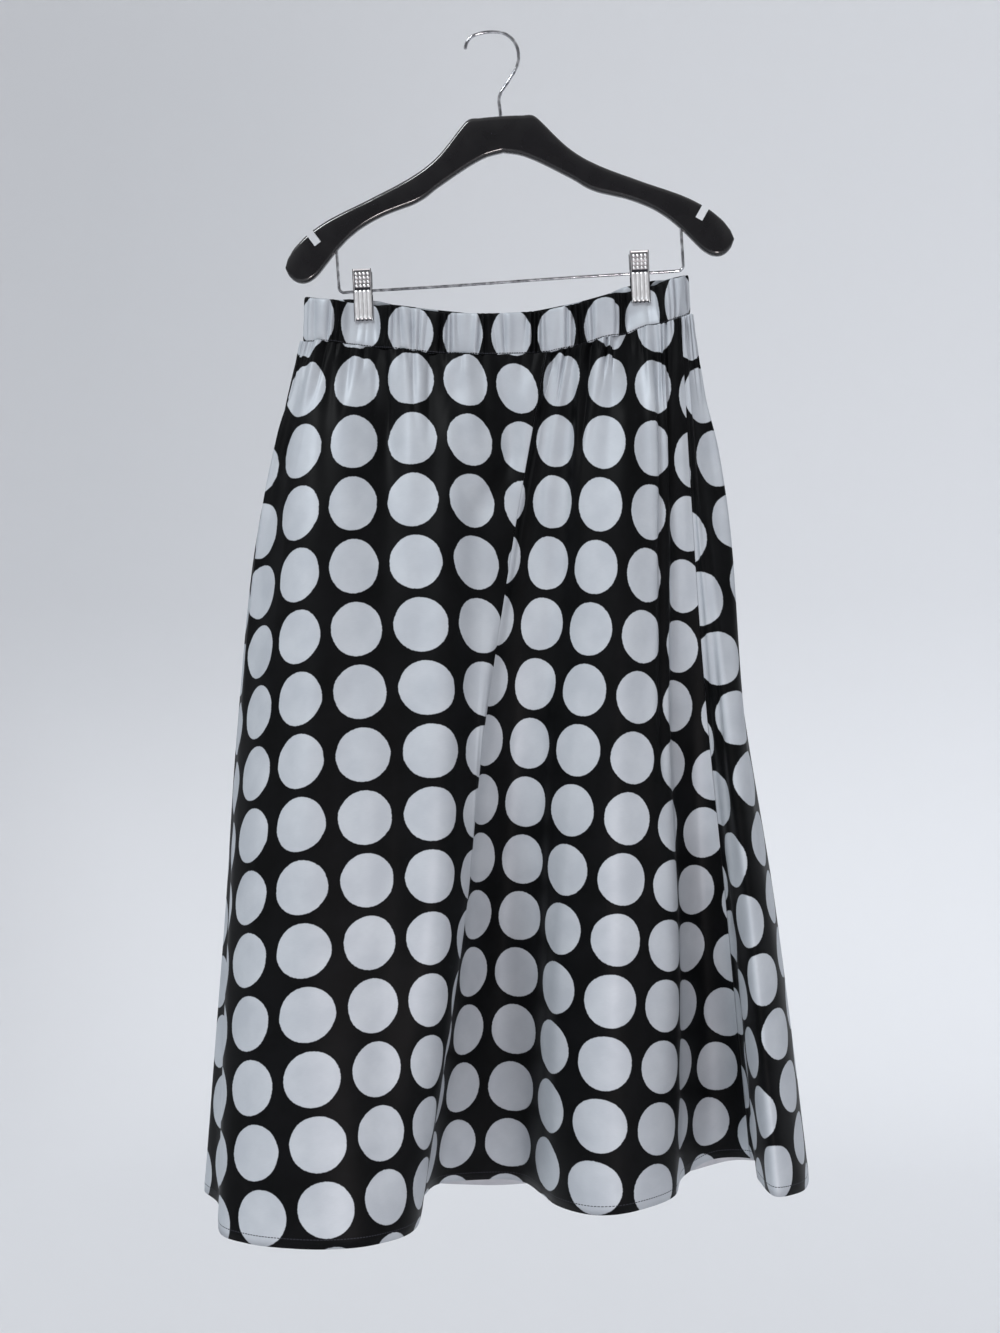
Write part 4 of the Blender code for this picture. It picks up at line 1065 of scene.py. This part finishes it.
class SkirtCloth(bpy.types.PropertyGroup):
    """Sizes and colours of the printed cloth."""

    pitch_across: FloatProperty(
        name="Dots across", description="From column to column", default=PITCH_ACROSS * MM, unit="LENGTH"
    )
    pitch_down: FloatProperty(
        name="Dots down", description="From row to row", default=PITCH_DOWN * MM, unit="LENGTH"
    )
    dot_size: FloatProperty(name="Dot size", description="Across one dot", default=0.0512, unit="LENGTH")
    dot_colour: colour_property("Dots", "Colour of the dots", "#BAC0C6")
    ground_colour: colour_property("Ground", "Colour between the dots", "#040506")
    reverse_colour: colour_property("Reverse", "Colour of the wrong side", "#C6C8CD")


class SkirtHanger(bpy.types.PropertyGroup):
    """Colours of the hanger."""

    body_colour: colour_property("Body", "Colour of the lacquer", "#050406")


class SkirtStudio(bpy.types.PropertyGroup):
    """Light and backdrop."""

    key_power: FloatProperty(name="Key light", description="Strength of the main light", default=1.9)
    key_softness: FloatProperty(
        name="Key softness", description="Angle of the main light", default=math.radians(16), unit="ROTATION"
    )
    fill_power: FloatProperty(name="Fill light", description="Power of the lamp", default=17.0, unit="POWER")
    fill_size: FloatProperty(name="Fill size", description="Side of the lamp", default=0.38, unit="LENGTH")
    sky: FloatProperty(name="Sky", description="Strength of the even light", default=0.60)
    floor_colour: colour_property("Floor", "Colour of floor and backdrop", "#DADBDE")


class SKIRT_OT_cloth(bpy.types.Operator):
    """Make the three panels and the gathered casing"""

    bl_idname = "skirt.cloth"
    bl_label = "Skirt cloth"
    bl_options = {"REGISTER", "UNDO"}

    def execute(self, context):
        panels = {panel: make_panel(panel) for panel in PANELS}
        casing = make_casing()
        return {"FINISHED"}


class SKIRT_OT_hanger(bpy.types.Operator):
    """Make the hanger's body, hook and bar"""

    bl_idname = "skirt.hanger"
    bl_label = "Hanger"
    bl_options = {"REGISTER", "UNDO"}

    def execute(self, context):
        make_hanger_body()
        make_wires()
        return {"FINISHED"}


class SKIRT_OT_clips(bpy.types.Operator):
    """Make the two clips with their springs"""

    bl_idname = "skirt.clips"
    bl_label = "Clips"
    bl_options = {"REGISTER", "UNDO"}

    def execute(self, context):
        for side, clip_x in zip(("left", "right"), CLIP_X):
            make_jaw(f"jaw_{side}_front", clip_x, -1, f"clip_{side}_front")
            make_jaw(f"jaw_{side}_back", clip_x, 1, f"clip_{side}_back")
            make_spring(f"coil_{side}", clip_x, f"clip_{side}_spring")
        return {"FINISHED"}


class SKIRT_OT_stage(bpy.types.Operator):
    """Make the floor with its round backdrop, the lights and the camera"""

    bl_idname = "skirt.stage"
    bl_label = "Stage"
    bl_options = {"REGISTER", "UNDO"}

    def execute(self, context):
        make_stage(context.scene)
        return {"FINISHED"}


class SKIRT_PT_panel(bpy.types.Panel):
    """Sizes, colours and the buttons that build each group of pieces"""

    bl_idname = "SKIRT_PT_panel"
    bl_label = "A-line Midi Skirt"
    bl_space_type = "VIEW_3D"
    bl_region_type = "UI"
    bl_category = "Skirt"

    def draw(self, context):
        scene = context.scene
        for group_name, _ in GROUPS:
            group = getattr(scene, group_name)
            box = self.layout.box()
            box.label(text=group_name.removeprefix("skirt_").title())
            for name in group.__annotations__:
                box.prop(group, name)
        for operator in OPERATORS:
            self.layout.operator(operator.bl_idname)


OPERATORS = (SKIRT_OT_cloth, SKIRT_OT_hanger, SKIRT_OT_clips, SKIRT_OT_stage)
GROUPS = (("skirt_cloth", SkirtCloth), ("skirt_hanger", SkirtHanger), ("skirt_studio", SkirtStudio))

# Studio: the floor in mm, the lamps' and the camera's places in metres
FLOOR_DOWN = 1900.0
FLOOR_FLAT = 3000.0
FLOOR_BEND = 1500.0
WALL_ROWS = (2900.0, 4300.0)
CAMERA_AT = (0.0073, -1.8, -0.6172)
LAMPS_AIM = (0.0, 0.0, -0.6)
KEY_AT = (-1.6, -2.0, 1.9)
FILL_AT = (0.55, -2.3, -1.3)


def make_stage(scene):
    """A wide floor that curves up behind and beside the piece, a sky, two lamps and the camera.

    The floor is a profile turned about the z axis: flat, then a quarter circle, then upright.
    """
    studio = scene.skirt_studio
    bend = np.linspace(0.0, math.pi / 2, 9)[1:]
    flat, wall = np.array([1.0, FLOOR_FLAT / 2, FLOOR_FLAT]), np.full(2, FLOOR_FLAT + FLOOR_BEND)
    radius = np.concatenate([flat, FLOOR_FLAT + FLOOR_BEND * np.sin(bend), wall])
    height = np.concatenate([np.zeros(3), FLOOR_BEND * (1.0 - np.cos(bend)), WALL_ROWS])
    round_it = np.linspace(0.0, 2 * math.pi, 65)[:-1]
    # Low on the camera's side, so that the key light comes in over it
    tall = 0.12 + 0.88 * ramp(np.sin(round_it), -0.7, 0.1)
    x, y = radius[:, None] * np.cos(round_it), radius[:, None] * np.sin(round_it)
    grid = np.stack([x, y, height[:, None] * tall - FLOOR_DOWN], -1)
    material, tree, shader = new_material("matt pale paint", 0.85)
    shader.inputs["Base Color"].default_value = studio.floor_colour
    floor = new_piece("floor", grid.reshape(-1, 3), grid_faces(len(radius), 64, closed=True), (material,))
    # A pale sky that turns grey toward -Y, which gives the gloss and the chrome their darks
    world = bpy.data.worlds.new("studio")
    scene.world = world
    world.use_nodes = True
    tree = world.node_tree
    way = node(tree, "ShaderNodeTexCoord").outputs["Generated"]
    back = node(tree, "ShaderNodeSeparateXYZ", {0: way}).outputs[1]
    eased_edge = {"interpolation_type": "SMOOTHSTEP", "in1": -0.96, "in2": -0.84}
    share = node(tree, "ShaderNodeMapRange", {0: back}, **eased_edge).outputs[0]
    ends = {"in6": linear("#98999D"), "in7": linear("#EEEFF1")}
    light = node(tree, "ShaderNodeMix", {0: share}, data_type="RGBA", **ends).outputs[2]
    sky = tree.nodes["Background"].inputs
    tree.links.new(light, sky[0])
    sky[1].default_value = studio.sky
    for name, kind, place, power, colour in (
        ("key", "SUN", KEY_AT, studio.key_power, "#F8FCFF"),
        ("fill", "AREA", FILL_AT, studio.fill_power, "#FFF3F2"),
    ):
        lamp = bpy.data.lights.new(name, kind)
        lamp.energy = power
        lamp.color = linear(colour)[:3]
        if kind == "SUN":
            lamp.angle = studio.key_softness
        else:
            lamp.size = studio.fill_size
        obj = bpy.data.objects.new(name, lamp)
        obj.location = place
        obj.rotation_euler = (Vector(LAMPS_AIM) - Vector(place)).to_track_quat("-Z", "Y").to_euler()
        scene.collection.objects.link(obj)
    camera = bpy.data.cameras.new("camera")
    camera.lens = 49.85
    camera.sensor_width = 36.0
    obj = bpy.data.objects.new("camera", camera)
    obj.location = CAMERA_AT
    obj.rotation_euler = (math.radians(90), 0, 0)
    scene.collection.objects.link(obj)
    scene.camera = obj
    scene.view_settings.view_transform = "Standard"


def register():
    for cls in [group for _, group in GROUPS] + list(OPERATORS) + [SKIRT_PT_panel]:
        bpy.utils.register_class(cls)
    for name, group in GROUPS:
        setattr(bpy.types.Scene, name, PointerProperty(type=group))


def unregister():
    for name, _ in GROUPS:
        delattr(bpy.types.Scene, name)
    for cls in [SKIRT_PT_panel] + list(OPERATORS)[::-1] + [group for _, group in GROUPS]:
        bpy.utils.unregister_class(cls)


def main():
    register()
    bpy.ops.skirt.cloth()
    bpy.ops.skirt.hanger()
    bpy.ops.skirt.clips()
    bpy.ops.skirt.stage()


if __name__ == "__main__":
    main()
